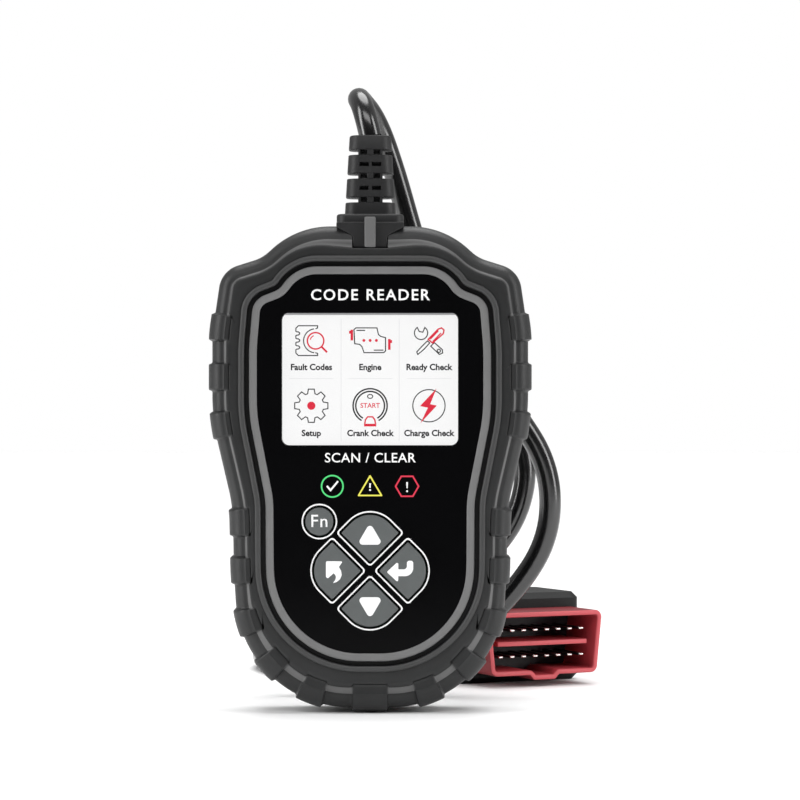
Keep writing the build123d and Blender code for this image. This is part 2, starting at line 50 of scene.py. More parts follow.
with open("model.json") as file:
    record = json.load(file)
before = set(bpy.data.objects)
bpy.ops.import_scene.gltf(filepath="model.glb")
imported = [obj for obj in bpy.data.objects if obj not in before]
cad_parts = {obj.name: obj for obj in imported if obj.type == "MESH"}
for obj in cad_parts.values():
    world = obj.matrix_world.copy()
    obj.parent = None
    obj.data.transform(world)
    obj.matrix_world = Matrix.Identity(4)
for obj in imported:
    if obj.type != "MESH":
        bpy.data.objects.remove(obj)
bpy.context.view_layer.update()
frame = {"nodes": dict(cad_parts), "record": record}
NODES = frame["nodes"]
MM = 0.001

# ---- the reader's outlines, as half outlines of corners (x, z, corner radius) in millimetres ----
BOOT_CORNERS = [
    (20.5, 136.0, 24.0),
    (30.2, 127.2, 11.0),
    (41.6, 123.6, 7.5),
    (44.2, 106.0, 40.0),
    (44.2, 82.0, 60.0),
    (38.5, 57.5, 45.0),
    (38.2, 40.0, 60.0),
    (36.0, 1.4, 32.0),
]
TRIM_CORNERS = [
    (20.8, 124.6, 11.5),
    (25.2, 118.2, 5.0),
    (32.6, 115.3, 5.5),
    (33.7, 102.0, 60.0),
    (33.7, 83.0, 50.0),
    (29.1, 59.5, 30.0),
    (29.0, 42.0, 60.0),
    (28.2, 14.7, 26.0),
]
SIDE_RIBS = [107.8, 93.8, 80.2, 53.2, 39.8]
CORNER_RIBS = [25, 45.5, 66]
CORNER_RIB_CENTRE = (0.0, 42.0)

# ---- the cord's route, in metres ----
CORD_ROUTE = [
    (0.0, 0.0, 0.1618),
    (-0.0018, 0.0, 0.1698),
    (-0.0042, 0.0115, 0.1748),
    (0.0016, 0.0230, 0.1686),
    (0.0068, 0.0260, 0.1540),
    (0.0116, 0.0285, 0.1370),
    (0.0174, 0.0300, 0.1180),
    (0.0270, 0.0310, 0.0995),
    (0.0420, 0.0320, 0.0845),
    (0.0526, 0.0333, 0.0670),
    (0.0524, 0.0348, 0.0465),
    (0.0412, 0.0363, 0.0295),
    (0.0250, 0.0380, 0.0150),
    (0.0055, 0.0396, 0.0060),
    (-0.0150, 0.0412, 0.0065),
    (-0.0310, 0.0427, 0.0195),
    (-0.0360, 0.0438, 0.0400),
    (-0.0315, 0.0448, 0.0610),
    (-0.0200, 0.0458, 0.0790),
    (-0.0030, 0.0465, 0.0915),
    (0.0175, 0.0470, 0.0955),
    (0.0360, 0.0470, 0.0875),
    (0.0468, 0.0472, 0.0710),
    (0.0440, 0.0478, 0.0525),
    (0.0330, 0.0495, 0.0390),
    (0.0180, 0.0550, 0.0275),
    (0.0020, 0.0630, 0.0165),
    (-0.0130, 0.0750, 0.0085),
    (-0.0250, 0.0900, 0.0045),
    (-0.0330, 0.1080, 0.0040),
    (-0.0375, 0.1270, 0.0040),
    (-0.0345, 0.1470, 0.0046),
    (-0.0205, 0.1615, 0.0065),
    (-0.0005, 0.1625, 0.0095),
    (0.0119, 0.1500, 0.0126),
    (0.01797, 0.1370, 0.0132),
]
CORD_DIAMETER = 0.0064

# ---- keys ----
PAD_Z = 39.9
FAN_NEAR = 1.05
FAN_HALF = 9.5
FAN_CORNER = 1.0
FAN_ROUND = 8.3
FN_PLACE = (-14.1, 53.6)
FN_RADIUS = 3.9
FN_RING = 1.05
FAN_TURNS = {"up": 0, "back": 90, "down": 180, "enter": 270}
SCREEN_Z = 93.2
SCREEN_CORNER = 2.0


# ======== properties ========
def length(name, value, description):
    """A size in metres, stated in millimetres."""
    return FloatProperty(
        name=name, default=value * MM, description=description, unit="LENGTH", precision=5
    )


def colour(name, value, description):
    return FloatVectorProperty(
        name=name, default=value, description=description, subtype="COLOR", size=3, min=0.0, max=1.0
    )


class ReaderSizes(bpy.types.PropertyGroup):
    """Sizes that a user would change."""

    rib_proud: length("Rib height", 1.0, "How far the grip ribs stand out of the boot's sides")
    lip_rise: length("Lip rise", 0.5, "How far the boot's lip stands above its flange")
    step_drop: length("Step drop", 1.35, "Drop from the flange to the shoulder between two ribs")
    sample: length("Boot sample", 0.34, "Spacing of the boot's cross-sections along its outline")
    ring_width: length("Ring width", 0.41, "Width of the printed rings round the keys")
    key_round: length("Key rounding", 0.3, "Rounding of a key's edge")
    key_dome: length("Key dome", 0.12, "How far a key's face bulges")
    print_rise: length("Print thickness", 0.03, "Thickness of printed graphics")
    icon_line: length("Icon line", 0.3, "Line width of the screen's pictograms")


class ReaderColours(bpy.types.PropertyGroup):
    """Colours of the reader's finishes."""

    rubber: colour("Rubber", (0.0140, 0.0144, 0.0147), "Boot rubber")
    trim: colour("Trim", (0.155, 0.155, 0.155), "Ring round the face panel")
    panel: colour("Panel", (0.0025, 0.0025, 0.0028), "Glossy face panel")
    key: colour("Keys", (0.092, 0.100, 0.100), "Silicone keys")
    ink: colour("Ink", (0.92, 0.92, 0.92), "White print")
    # Painted highlight colour for the boot: its step and lip crest are lightened towards it.
    rubber_painted_highlight: colour("Rubber edge", (0.12, 0.12, 0.12), "Rubber polished along its edges")
    vinyl: colour("Cord vinyl", (0.0045, 0.0045, 0.0048), "Lead and strain reliefs")
    relief: colour("Relief", (0.012, 0.012, 0.0125), "Cable neck and strain relief")
    # Painted highlight colour: the neck's ridge is lightened towards it.
    ridge: colour("Ridge", (0.125, 0.125, 0.125), "Scuffed ridge down the cable neck")
    red: colour("Plug red", (0.34, 0.020, 0.030), "Plug shroud")
    # Painted highlight colour: the plug's rim and inner walls are lightened towards it.
    red_painted_highlight: colour("Plug rim", (0.62, 0.105, 0.12), "Rubbed rim of the plug shroud")
    hood: colour("Plug hood", (0.0065, 0.007, 0.007), "Plug hood plastic")
    page: colour("Screen page", (0.97, 0.97, 0.97), "Lit screen background")
    accent: colour("Screen accent", (0.75, 0.03, 0.06), "Red parts of the pictograms")


def sizes():
    return bpy.context.scene.reader_sizes


def colours():
    return bpy.context.scene.reader_colours


# ======== materials ========
MATERIALS = {}


def new_material(name):
    """Lists a new material under its name, and gives its tree and its shader."""
    mat = bpy.data.materials.new(name)
    mat.use_nodes = True
    tree = mat.node_tree
    shader = tree.nodes["Principled BSDF"]
    MATERIALS[name] = mat
    return tree, shader


def object_noise(tree, scale, detail=2.0):
    """A noise on object coordinates; scale is features per metre."""
    place = tree.nodes.new("ShaderNodeTexCoord")
    noise = tree.nodes.new("ShaderNodeTexNoise")
    noise.inputs["Scale"].default_value = scale
    noise.inputs["Detail"].default_value = detail
    tree.links.new(place.outputs["Object"], noise.inputs["Vector"])
    return noise.outputs["Fac"]


def map_range(tree, value, from_low, from_high, low, high):
    """Maps from_low..from_high to low..high."""
    ramp = tree.nodes.new("ShaderNodeMapRange")
    ramp.inputs["From Min"].default_value = from_low
    ramp.inputs["From Max"].default_value = from_high
    ramp.inputs["To Min"].default_value = low
    ramp.inputs["To Max"].default_value = high
    tree.links.new(value, ramp.inputs["Value"])
    return ramp.outputs["Result"]


def spread(tree, value, low, high):
    """Maps the middle of a noise's range to low..high."""
    return map_range(tree, value, 0.3, 0.7, low, high)


def math_node(tree, operation, first, second):
    """A sum of an output with a number or with another output."""
    node = tree.nodes.new("ShaderNodeMath")
    node.operation = operation
    tree.links.new(first, node.inputs[0])
    if isinstance(second, float):
        node.inputs[1].default_value = second
    else:
        tree.links.new(second, node.inputs[1])
    return node.outputs["Value"]


def tint(tree, factor, below, top):
    """A colour between two, by a factor; the first may be another node's output."""
    mix = tree.nodes.new("ShaderNodeMix")
    mix.data_type = "RGBA"
    if isinstance(below, bpy.types.NodeSocket):
        tree.links.new(below, mix.inputs["A"])
    else:
        mix.inputs["A"].default_value = (*below, 1)
    mix.inputs["B"].default_value = (*top, 1)
    tree.links.new(factor, mix.inputs["Factor"])
    return mix.outputs["Result"]


# Share of the base colour that painted shade darkens towards.
PAINTED_SHADE_SHARE = 0.12


def moulded(
    name,
    base,
    rough,
    rough_swing=0.06,
    shade=0.12,
    grain=2200,
    grain_depth=0.0,
    blotch=160,
    highlight_colour=None,
    gloss=0.5,
):
    """A moulded finish: uneven roughness and colour, fine grain, worn edges and dark recesses."""
    tree, shader = new_material(name)
    base = tuple(base)
    blotches = object_noise(tree, blotch, 4.0)
    darker = tuple(c * (1 - shade) for c in base)
    lighter = tuple(min(1.0, c * (1 + shade)) for c in base)
    shown = tint(tree, spread(tree, blotches, 0, 1), darker, lighter)
    if highlight_colour is not None:
        # Painted light: points marked above 0 are lightened towards the highlight colour, points marked
        # below 0 are darkened as painted shade.
        painted_light = tree.nodes.new("ShaderNodeAttribute")
        painted_light.attribute_name = "painted_light"
        highlighted = tint(tree, painted_light.outputs["Fac"], shown, highlight_colour)
        depth = math_node(tree, "MULTIPLY", painted_light.outputs["Fac"], -1.0)
        shown = tint(tree, depth, highlighted, [c * PAINTED_SHADE_SHARE for c in base])
    shader.inputs["Specular IOR Level"].default_value = gloss
    tree.links.new(shown, shader.inputs["Base Color"])
    fine = object_noise(tree, grain, 3.0)
    roughness = spread(tree, fine, rough - rough_swing, rough + rough_swing)
    tree.links.new(roughness, shader.inputs["Roughness"])
    if grain_depth:
        bump = tree.nodes.new("ShaderNodeBump")
        bump.inputs["Strength"].default_value = 1.0
        bump.inputs["Distance"].default_value = grain_depth * MM
        tree.links.new(fine, bump.inputs["Height"])
        tree.links.new(bump.outputs["Normal"], shader.inputs["Normal"])
    return shader


def metal(name, base, rough):
    """A plain metal, a little uneven."""
    shader = moulded(name, base, rough, rough_swing=0.08, shade=0.08, grain=900, blotch=300)
    shader.inputs["Metallic"].default_value = 1.0


def lit(name, base, glow):
    """A lit picture on the screen."""
    tree, shader = new_material(name)
    shader.inputs["Base Color"].default_value = (*[c * 0.1 for c in base], 1)
    shader.inputs["Specular IOR Level"].default_value = 0.1
    shader.inputs["Roughness"].default_value = 0.6
    shader.inputs["Emission Color"].default_value = (*base, 1)
    faint = object_noise(tree, 40, 1.0)
    strength = spread(tree, faint, glow * 0.985, glow * 1.015)
    tree.links.new(strength, shader.inputs["Emission Strength"])


def thin_clear(name, haze):
    """A clear sheet with nothing but a faint gloss."""
    tree, shader = new_material(name)
    shader.inputs["Base Color"].default_value = (0.02, 0.02, 0.02, 1)
    shader.inputs["Alpha"].default_value = haze
    roughness = spread(tree, object_noise(tree, 120), 0.05, 0.12)
    tree.links.new(roughness, shader.inputs["Roughness"])


def clear(name, rough):
    """A solid clear plastic."""
    tree, shader = new_material(name)
    shader.inputs["Base Color"].default_value = (1, 1, 1, 1)
    shader.inputs["Transmission Weight"].default_value = 1.0
    shader.inputs["IOR"].default_value = 1.46
    roughness = spread(tree, object_noise(tree, 300), rough * 0.6, rough * 1.4)
    tree.links.new(roughness, shader.inputs["Roughness"])


def make_materials():
    c = colours()
    moulded(
        "boot_rubber", c.rubber, 0.46, 0.06, 0.14, 2600, 0.018, 120, highlight_colour=c.rubber_painted_highlight, gloss=0.42
    )
    moulded("case_plastic", (0.015, 0.015, 0.016), 0.5, 0.06, 0.1, 3000, 0.02, 150)
    # A darker copy of the case plastic: painted shade for the groove.
    moulded("case_painted_shade", (0.004, 0.004, 0.0042), 0.55, 0.06, 0.1, 3000, 0.02, 150, gloss=0.25)
    metal("screw_steel", (0.42, 0.42, 0.44), 0.35)
    moulded("trim_gray", c.trim, 0.5, 0.05, 0.05, 3200, 0.006, 200)
    moulded("panel_gloss", c.panel, 0.16, 0.03, 0.05, 90, 0.0, 60, gloss=0.045)
    thin_clear("lens_clear", 0.06)
    metal("can_steel", (0.55, 0.55, 0.57), 0.32)
    moulded("diffuser_white", (0.82, 0.82, 0.8), 0.5, 0.05, 0.03)
    moulded("screen_glass", (0.02, 0.02, 0.025), 0.12, 0.03, 0.05, 300)
    moulded("foam_black", (0.01, 0.01, 0.01), 0.9, 0.05, 0.2, 4000, 0.08)
    moulded("flex_film", (0.42, 0.17, 0.03), 0.3, 0.05, 0.08)
    moulded("silicone_gray", (0.10, 0.10, 0.10), 0.6, 0.05, 0.08, 2500, 0.01)
    moulded("switch_black", (0.012, 0.012, 0.012), 0.45)
    moulded("key_gray", c.key, 0.5, 0.05, 0.06, 2800, 0.008, 240)
    moulded("board_green", (0.012, 0.11, 0.035), 0.3, 0.06, 0.12, 1200, 0.004)
    clear("led_clear", 0.05)
    moulded("chip_black", (0.012, 0.012, 0.013), 0.55, 0.05, 0.1, 3000, 0.01)
    moulded("housing_ivory", (0.72, 0.68, 0.55), 0.45)
    moulded("wire_coating", (0.35, 0.02, 0.02), 0.35)
    moulded("cord_vinyl", c.vinyl, 0.2, 0.03, 0.12, 420, 0.004, 60, gloss=0.9)
    moulded("relief_vinyl", c.relief, 0.5, 0.05, 0.12, 1800, 0.01, highlight_colour=c.ridge, gloss=0.4)
    moulded("plug_red", c.red, 0.42, 0.05, 0.07, 1800, 0.006, highlight_colour=c.red_painted_highlight, gloss=0.3)
    # Dark pin shafts: painted shade inside the shroud.
    moulded("pin_painted_shade", (0.008, 0.008, 0.008), 0.4, 0.05, 0.1, 2000)
    metal("pin_tin", (0.86, 0.85, 0.82), 0.25)
    moulded("hood_black", c.hood, 0.5, 0.06, 0.12, 2600, 0.02, gloss=0.26)
    moulded("white_ink", c.ink, 0.45, 0.04, 0.02)
    lit("page_light", c.page, 1.0)
    # Grey glow for the painted shadow along the screen's top edge.
    lit("page_painted_shadow", (0.36, 0.36, 0.37), 1.0)
    lit("page_rule", (0.80, 0.80, 0.81), 1.0)
    lit("page_ink", (0.02, 0.02, 0.022), 1.0)
    lit("page_accent", c.accent, 1.0)
    lit("status_green", (0.10, 0.72, 0.22), 1.0)
    lit("status_yellow", (0.85, 0.80, 0.12), 1.0)
    lit("status_red", (0.75, 0.05, 0.09), 1.0)


def wear_slot_material(obj, name):
    obj.data.materials.clear()
    obj.data.materials.append(MATERIALS[name])


# ======== mesh helpers ========
def new_object(name, data):
    """An object in the scene's own collection."""
    obj = bpy.data.objects.new(name, data)
    bpy.context.scene.collection.objects.link(obj)
    return obj


def add_mesh(name, points, faces, material, smooth=True):
    """A mesh object from points in metres; its place is in its mesh."""
    mesh = bpy.data.meshes.new(name)
    mesh.from_pydata([tuple(p) for p in points], [], faces)
    mesh.validate()
    obj = new_object(name, mesh)
    if smooth:
        mesh.shade_smooth()
    wear_slot_material(obj, material)
    return obj


def outward(obj):
    """Merges doubles and points every face outwards."""
    work = bmesh.new()
    work.from_mesh(obj.data)
    bmesh.ops.remove_doubles(work, verts=work.verts, dist=1e-7)
    bmesh.ops.recalc_face_normals(work, faces=work.faces)
    work.to_mesh(obj.data)
    work.free()


def mark_painted_light(obj, values):
    """Stores each point's wear: above 0 a worn edge, below 0 a dark recess."""
    attribute = obj.data.attributes.new("painted_light", "FLOAT", "POINT")
    attribute.data.foreach_set("value", values)


def sharpen(obj, degrees):
    """Smooth shading with edges kept sharp above an angle."""
    obj.data.shade_smooth()
    obj.data.set_sharp_from_angle(angle=math.radians(degrees))


def grid_faces(rows, columns, wrap_rows, wrap_columns):
    """Quads of a grid of points stored row by row."""
    faces = []
    for row in range(rows if wrap_rows else rows - 1):
        below = (row + 1) % rows
        for column in range(columns if wrap_columns else columns - 1):
            beside = (column + 1) % columns
            corners = ((row, column), (row, beside), (below, beside), (below, column))
            faces.append(tuple(r * columns + c for r, c in corners))
    return faces


def at(x, z, depth):
    """A point on the face, x and z in millimetres and depth forwards, as a place in metres."""
    return (x * MM, -depth * MM, z * MM)


def mirrored(half):
    """A whole outline from its right half."""
    return list(half) + [(-x, z, r) for x, z, r in reversed(half)]


def corner_arcs(corners):
    """For each corner of a clockwise outline: the arc's start and end, heading in, turn and radius."""
    arcs = []
    count = len(corners)
    for i, (x, z, r) in enumerate(corners):
        before = Vector(corners[i - 1][:2])
        after = Vector(corners[(i + 1) % count][:2])
        here = Vector((x, z))
        way_in = (here - before).normalized()
        way_out = (after - here).normalized()
        turn = math.atan2(way_in.x * way_out.y - way_in.y * way_out.x, way_in.dot(way_out))
        reach = r * math.tan(abs(turn) / 2)
        heading = math.atan2(way_in.y, way_in.x)
        arcs.append((here - way_in * reach, here + way_out * reach, heading, turn, r))
    return arcs


def spaced(count, extra=()):
    """Shares from 0 up to but not including 1, with a few added."""
    return sorted(set([i / count for i in range(count)]) | set(extra))


def outline_plan(corners, step, extra_first=()):
    """Shares along each arc and the straight after it; the extra ones go on the closing straight."""
    arcs = corner_arcs(corners)
    plan = []
    for i, (_, end, _, turn, r) in enumerate(arcs):
        following = arcs[(i + 1) % len(arcs)][0]
        arc_count = max(3, math.ceil(abs(turn) * r / step))
        line_count = max(1, math.ceil((following - end).length / step))
        last = i == len(arcs) - 1
        plan.append((spaced(arc_count), spaced(line_count, extra_first if last else ())))
    return plan


def outline_points(corners, plan):
    """(x, z, outward normal x, outward normal z) all round a closed outline run clockwise."""
    arcs = corner_arcs(corners)
    points = []
    for i, (start, end, heading, turn, r) in enumerate(arcs):
        side = 1 if turn > 0 else -1
        normal_in = Vector((-math.sin(heading), math.cos(heading)))
        centre = start + normal_in * (r * side)
        for share in plan[i][0]:
            angle = heading + turn * share
            normal = Vector((-math.sin(angle), math.cos(angle)))
            point = centre - normal * (r * side)
            points.append((point.x, point.y, normal.x, normal.y))
        following = arcs[(i + 1) % len(arcs)][0]
        angle = heading + turn
        normal = Vector((-math.sin(angle), math.cos(angle)))
        for share in plan[i][1]:
            point = end.lerp(following, share)
            points.append((point.x, point.y, normal.x, normal.y))
    return points


def loop_of(corners, step=0.5):
    """A plain rounded loop of (x, z) points."""
    return [(x, z) for x, z, _, _ in outline_points(corners, outline_plan(corners, step))]


def thicken(work, depth_back, depth_front):
    """Gives flat faces their thickness, forwards."""
    top = bmesh.ops.extrude_face_region(work, geom=list(work.faces))
    lifted = [v for v in top["geom"] if isinstance(v, bmesh.types.BMVert)]
    bmesh.ops.translate(work, verts=lifted, vec=(0, -(depth_front - depth_back) * MM, 0))
    bmesh.ops.recalc_face_normals(work, faces=work.faces)


def oblong(width, depth, corner, shrink=0.0):
    """A rounded oblong about the middle, as corners to round."""
    w, d = width / 2 - shrink, depth / 2 - shrink
    r = max(0.2, corner - shrink)
    return [(w, d, r), (w, -d, r), (-w, -d, r), (-w, d, r)]


def flat_piece(name, loops, depth_back, depth_front, material):
    """Thin plates from closed (x, z) loops; inner loops of the same plate are holes."""
    work = bmesh.new()
    for loop_group in loops:
        edges = []
        for loop in loop_group:
            verts = [work.verts.new(at(x, z, depth_back)) for x, z in loop]
            count = len(verts)
            edges += [work.edges.new((verts[i], verts[(i + 1) % count])) for i in range(count)]
        bmesh.ops.triangle_fill(
            work, use_beauty=True, use_dissolve=False, edges=edges, normal=(0, -1, 0)
        )
    thicken(work, depth_back, depth_front)
    mesh = bpy.data.meshes.new(name)
    work.to_mesh(mesh)
    work.free()
    obj = new_object(name, mesh)
    wear_slot_material(obj, material)
    return obj


def ribbon(points, width, closed=False):
    """Closed loops that outline a line of even width drawn through points."""
    count = len(points)
    left, right = [], []
    for i, (x, z) in enumerate(points):
        before = points[i - 1] if i or closed else points[0]
        after = points[(i + 1) % count] if i < count - 1 or closed else points[-1]
        way_in = Vector((x - before[0], z - before[1]))
        way_out = Vector((after[0] - x, after[1] - z))
        way_in = way_in.normalized() if way_in.length else way_out.normalized()
        way_out = way_out.normalized() if way_out.length else way_in
        both = way_in + way_out
        middle = both.normalized() if both.length > 1e-6 else way_in
        normal = Vector((-middle.y, middle.x))
        stretch = min(2.0, 1 / max(0.3, normal.dot(Vector((-way_in.y, way_in.x)))))
        out_x = normal.x * width / 2 * stretch
        out_z = normal.y * width / 2 * stretch
        left.append((x + out_x, z + out_z))
        right.append((x - out_x, z - out_z))
    if closed:
        return [left, right]
    return [left + right[::-1]]


def circle(x, z, radius, start=0.0, sweep=360.0, count=40):
    """Points round a circle, or along an arc of it."""
    full = abs(sweep) >= 360
    return [
        (
            x + radius * math.cos(math.radians(start + sweep * i / count)),
            z + radius * math.sin(math.radians(start + sweep * i / count)),
        )
        for i in range(count if full else count + 1)
    ]


def ring_loops(x, z, radius, width):
    return [circle(x, z, radius), circle(x, z, radius - width)]


def turned(points, degrees):
    a = math.radians(degrees)
    return [
        (x * math.cos(a) - z * math.sin(a), x * math.sin(a) + z * math.cos(a)) for x, z in points
    ]


def placed(points, x, z):
    return [(x + px, z + pz) for px, pz in points]


CAP_SHARE = 0.72


def lettering(name, text, x, z, cap, depth_back, depth_front, material, bold=0.0, spacing=1.0):
    """Printed words centred on (x, z), with capitals cap millimetres tall."""
    curve = bpy.data.curves.new(name + "_letters", "FONT")
    curve.body = text
    curve.align_x = "CENTER"
    curve.align_y = "CENTER"
    curve.size = cap / CAP_SHARE
    curve.offset = bold
    curve.space_character = spacing
    curve.resolution_u = 3
    holder = new_object(name + "_letters", curve)
    graph = bpy.context.evaluated_depsgraph_get()
    mesh = bpy.data.meshes.new_from_object(holder.evaluated_get(graph))
    bpy.data.objects.remove(holder)
    work = bmesh.new()
    work.from_mesh(mesh)
    bmesh.ops.remove_doubles(work, verts=work.verts, dist=1e-5)
    for v in work.verts:
        v.co = Vector(at(x + v.co.x, z + v.co.y, depth_back))
    thicken(work, depth_back, depth_front)
    work.to_mesh(mesh)
    work.free()
    mesh.name = name
    obj = new_object(name, mesh)
    wear_slot_material(obj, material)
    return obj


def on_root(*pieces):
    for piece in pieces:
        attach(piece, "root")


# ======== shared depths, read from the frame ========
def front_of(node):
    """A node's most forward depth in millimetres."""
    return -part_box(node)[0].y / MM


def back_of(node):
    """A node's hindmost depth in millimetres."""
    return -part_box(node)[1].y / MM


# ======== boot ========
GROOVE = 1.3
GROOVE_EDGE = 12.1
LIP_WIDTH = 1.7
FLANGE_DEPTH = 12.5
CASE_DEPTH = 10.8
TURN_DEPTH = 6.8
SHOULDER_TOP = 12.36
FLANGE_INSET = 4.3
FLANGE_LOW_EXTRA = 1.9
STEP_LOW_EXTRA = 1.2
LOW_FROM = 40.0
LOW_SPAN = 28.0
RIB_REACH = 0.8
LOW_RAISE = 0.15
BOOT_WALL = 3.0
SLOT_HALF = 5.0
SLOT_FLOOR = 129.7
RIB_EDGE = 0.3
SIDE_RIB_HALF = 3.75
CORNER_RIB_HALF = 3.8
FOOT_RIB_HALF = 5.0
SIDE_FROM_X = 30
SIDE_FROM_Z = 33
FOOT_BELOW = 12
COVE_FROM_Z = 115
COVE_REACH = 30.0
COVE_SHIFT = 2.1
COVE_WIDTH = 1.7
COVE_DROP = -0.2
STEP_NARROW = 0.2
STEP_WIDTH = 0.62
# Below this height the step's painted highlight is at full strength.
PAINTED_HIGHLIGHT_BELOW = 112
FRONT_ROWS = 13
LIP_STEPS = 8
SIDE_STEPS = 9


def eased(share):
    """A share held to 0..1, with soft ends."""
    share = min(1.0, max(0.0, share))
    return share * share * (3 - 2 * share)


def soft_step(distance):
    """1 inside a rib, 0 outside, eased across its edge."""
    return eased(0.5 - distance / (2 * RIB_EDGE))


def rib_share(x, z):
    """How much of a rib stands at a point of the boot's outline."""
    share = 0.0
    if abs(x) > SIDE_FROM_X and z > SIDE_FROM_Z:
        for middle in SIDE_RIBS:
            share = max(share, soft_step(abs(z - middle) - SIDE_RIB_HALF))
    cx, cz = CORNER_RIB_CENTRE
    for angle in CORNER_RIBS:
        a = math.radians(angle)
        along = Vector((math.cos(a), -math.sin(a)))
        offset = Vector((abs(x) - cx, z - cz))
        if offset.dot(along) > 0:
            across = abs(offset.x * along.y - offset.y * along.x)
            share = max(share, soft_step(across - CORNER_RIB_HALF))
    if z < FOOT_BELOW:
        share = max(share, soft_step(abs(x) - FOOT_RIB_HALF))
    return share


def neck_share(x, z):
    """How far the step opens out into a cove beside the neck: 1 at the neck, 0 past COVE_REACH."""
    if z < COVE_FROM_Z:
        return 0.0
    share = (COVE_REACH - max(abs(x), SLOT_HALF)) / (COVE_REACH - SLOT_HALF)
    return max(0.0, share) ** 1.3


def low_share(z):
    """How far the boot has widened towards its foot: 0 on the sides, 1 round the bottom."""
    return eased((LOW_FROM - z) / LOW_SPAN)


def boot_section(place, trim_place, s):
    """One cross-section of the boot: groove floor, lip, flange, step, side, back and inner wall."""
    x, z, nx, nz = place
    tx, tz, tnx, tnz = trim_place
    rib = rib_share(x, z)
    lip = FLANGE_DEPTH + s.lip_rise / MM
    rows = []

    def from_trim(out, depth, painted_light=0.0):
        rows.append((tx + tnx * out, tz + tnz * out, depth, painted_light))

    def from_edge(inset, depth, painted_light=0.0):
        rows.append((x - nx * inset, z - nz * inset, depth, painted_light))

    # Painted shade down the groove wall; along the lip, a painted highlight on its crest and painted
    # shade at its foot.
    from_trim(GROOVE, CASE_DEPTH, -1.0)
    from_trim(GROOVE, GROOVE_EDGE, -1.0)
    for i in range(LIP_STEPS + 1):
        a = math.pi * i / LIP_STEPS
        base = 12.3 + 0.2 * i / LIP_STEPS
        out = GROOVE + LIP_WIDTH * (1 - math.cos(a)) / 2
        from_trim(out, base + (lip - base) * math.sin(a), 0.3 * math.sin(a) - 0.5 * (i == LIP_STEPS))
    lip_x, lip_z = tx + tnx * (GROOVE + LIP_WIDTH), tz + tnz * (GROOVE + LIP_WIDTH)
    cove = neck_share(x, z)
    low = low_share(z)
    step_width = STEP_WIDTH + STEP_LOW_EXTRA * low
    inset = FLANGE_INSET + FLANGE_LOW_EXTRA * low + COVE_SHIFT * cove
    reach = inset - STEP_NARROW - step_width - COVE_WIDTH * cove
    inset += RIB_REACH * rib
    step_x, step_z = x - nx * inset, z - nz * inset
    for share in (0.35, 0.7):
        flange_x = lip_x + (step_x - lip_x) * share
        flange_z = lip_z + (step_z - lip_z) * share
        rows.append((flange_x, flange_z, FLANGE_DEPTH, 0.0))
    drop = (s.step_drop / MM + COVE_DROP * cove - LOW_RAISE * low) * (1 - rib)
    proud = rib * s.rib_proud / MM
    high = SHOULDER_TOP - drop
    # Painted highlight on the step between ribs, full below a set height and beside the neck.
    step_painted_highlight = (1 - rib) * (0.55 + 0.45 * max(cove, float(z < PAINTED_HIGHLIGHT_BELOW)))
    from_edge(inset + 0.12, FLANGE_DEPTH)
    # Painted shade in the line at the foot of the step.
    from_edge(inset - 0.02, 12.42, -0.6)
    from_edge(inset - 0.1, 12.1, -0.9)
    from_edge(inset - STEP_NARROW, 12.2 - drop * 0.1, step_painted_highlight)
    middle = (inset - STEP_NARROW + reach + 0.12) / 2
    from_edge(middle, (12.2 - drop * 0.1 + high + 0.12) / 2, step_painted_highlight * (1 - 0.75 * cove))
    from_edge(reach + 0.12, high + 0.12, step_painted_highlight)
    # Painted shade where the step meets the shoulder.
    from_edge(reach, high, -0.5 * (1 - rib))
    for i in range(1, SIDE_STEPS + 1):
        a = math.radians(90) * i / SIDE_STEPS
        depth = TURN_DEPTH + (high - TURN_DEPTH) * math.cos(a)
        from_edge(reach - (reach + proud) * math.sin(a), depth)
    front = list(rows[FRONT_ROWS:])
    for depth in (3.4, 0.0, -3.4):
        rows.append((x + nx * proud, z + nz * proud, depth, 0.0))
    for px, pz, depth, painted_light in reversed(front):
        rows.append((px, pz, -depth, painted_light))
    from_trim(0.0, -FLANGE_DEPTH)
    from_trim(0.0, -CASE_DEPTH)
    from_edge(BOOT_WALL, -CASE_DEPTH)
    from_edge(BOOT_WALL, CASE_DEPTH)
    return rows


def build_boot():
    s = sizes()
    corners = mirrored(BOOT_CORNERS)
    arcs = corner_arcs(corners)
    start, end = arcs[-1][1], arcs[0][0]
    width = end.x - start.x
    slot_sides = (-SLOT_HALF - 0.02, -SLOT_HALF, SLOT_HALF, SLOT_HALF + 0.02)
    edges = [(x - start.x) / width for x in slot_sides]
    plan = outline_plan(corners, s.sample / MM, edges)
    places = outline_points(corners, plan)
    trim_places = outline_points(mirrored(TRIM_CORNERS), plan)
    points, painted_lights = [], []
    for place, trim_place in zip(places, trim_places):
        in_slot = abs(place[0]) <= SLOT_HALF + 0.001 and place[1] > 100
        for x, z, depth, painted_light in boot_section(place, trim_place, s):
            points.append(at(x, min(z, SLOT_FLOOR) if in_slot else z, depth))
            painted_lights.append(painted_light)
    columns = len(points) // len(places)
    boot = add_mesh("boot", points, grid_faces(len(places), columns, True, True), "boot_rubber")
    mark_painted_light(boot, painted_lights)
    work = bmesh.new()
    work.from_mesh(boot.data)
    bmesh.ops.recalc_face_normals(work, faces=work.faces)
    work.to_mesh(boot.data)
    work.free()
    sharpen(boot, 50)
    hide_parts("rubber_boot")
    on_root(boot)


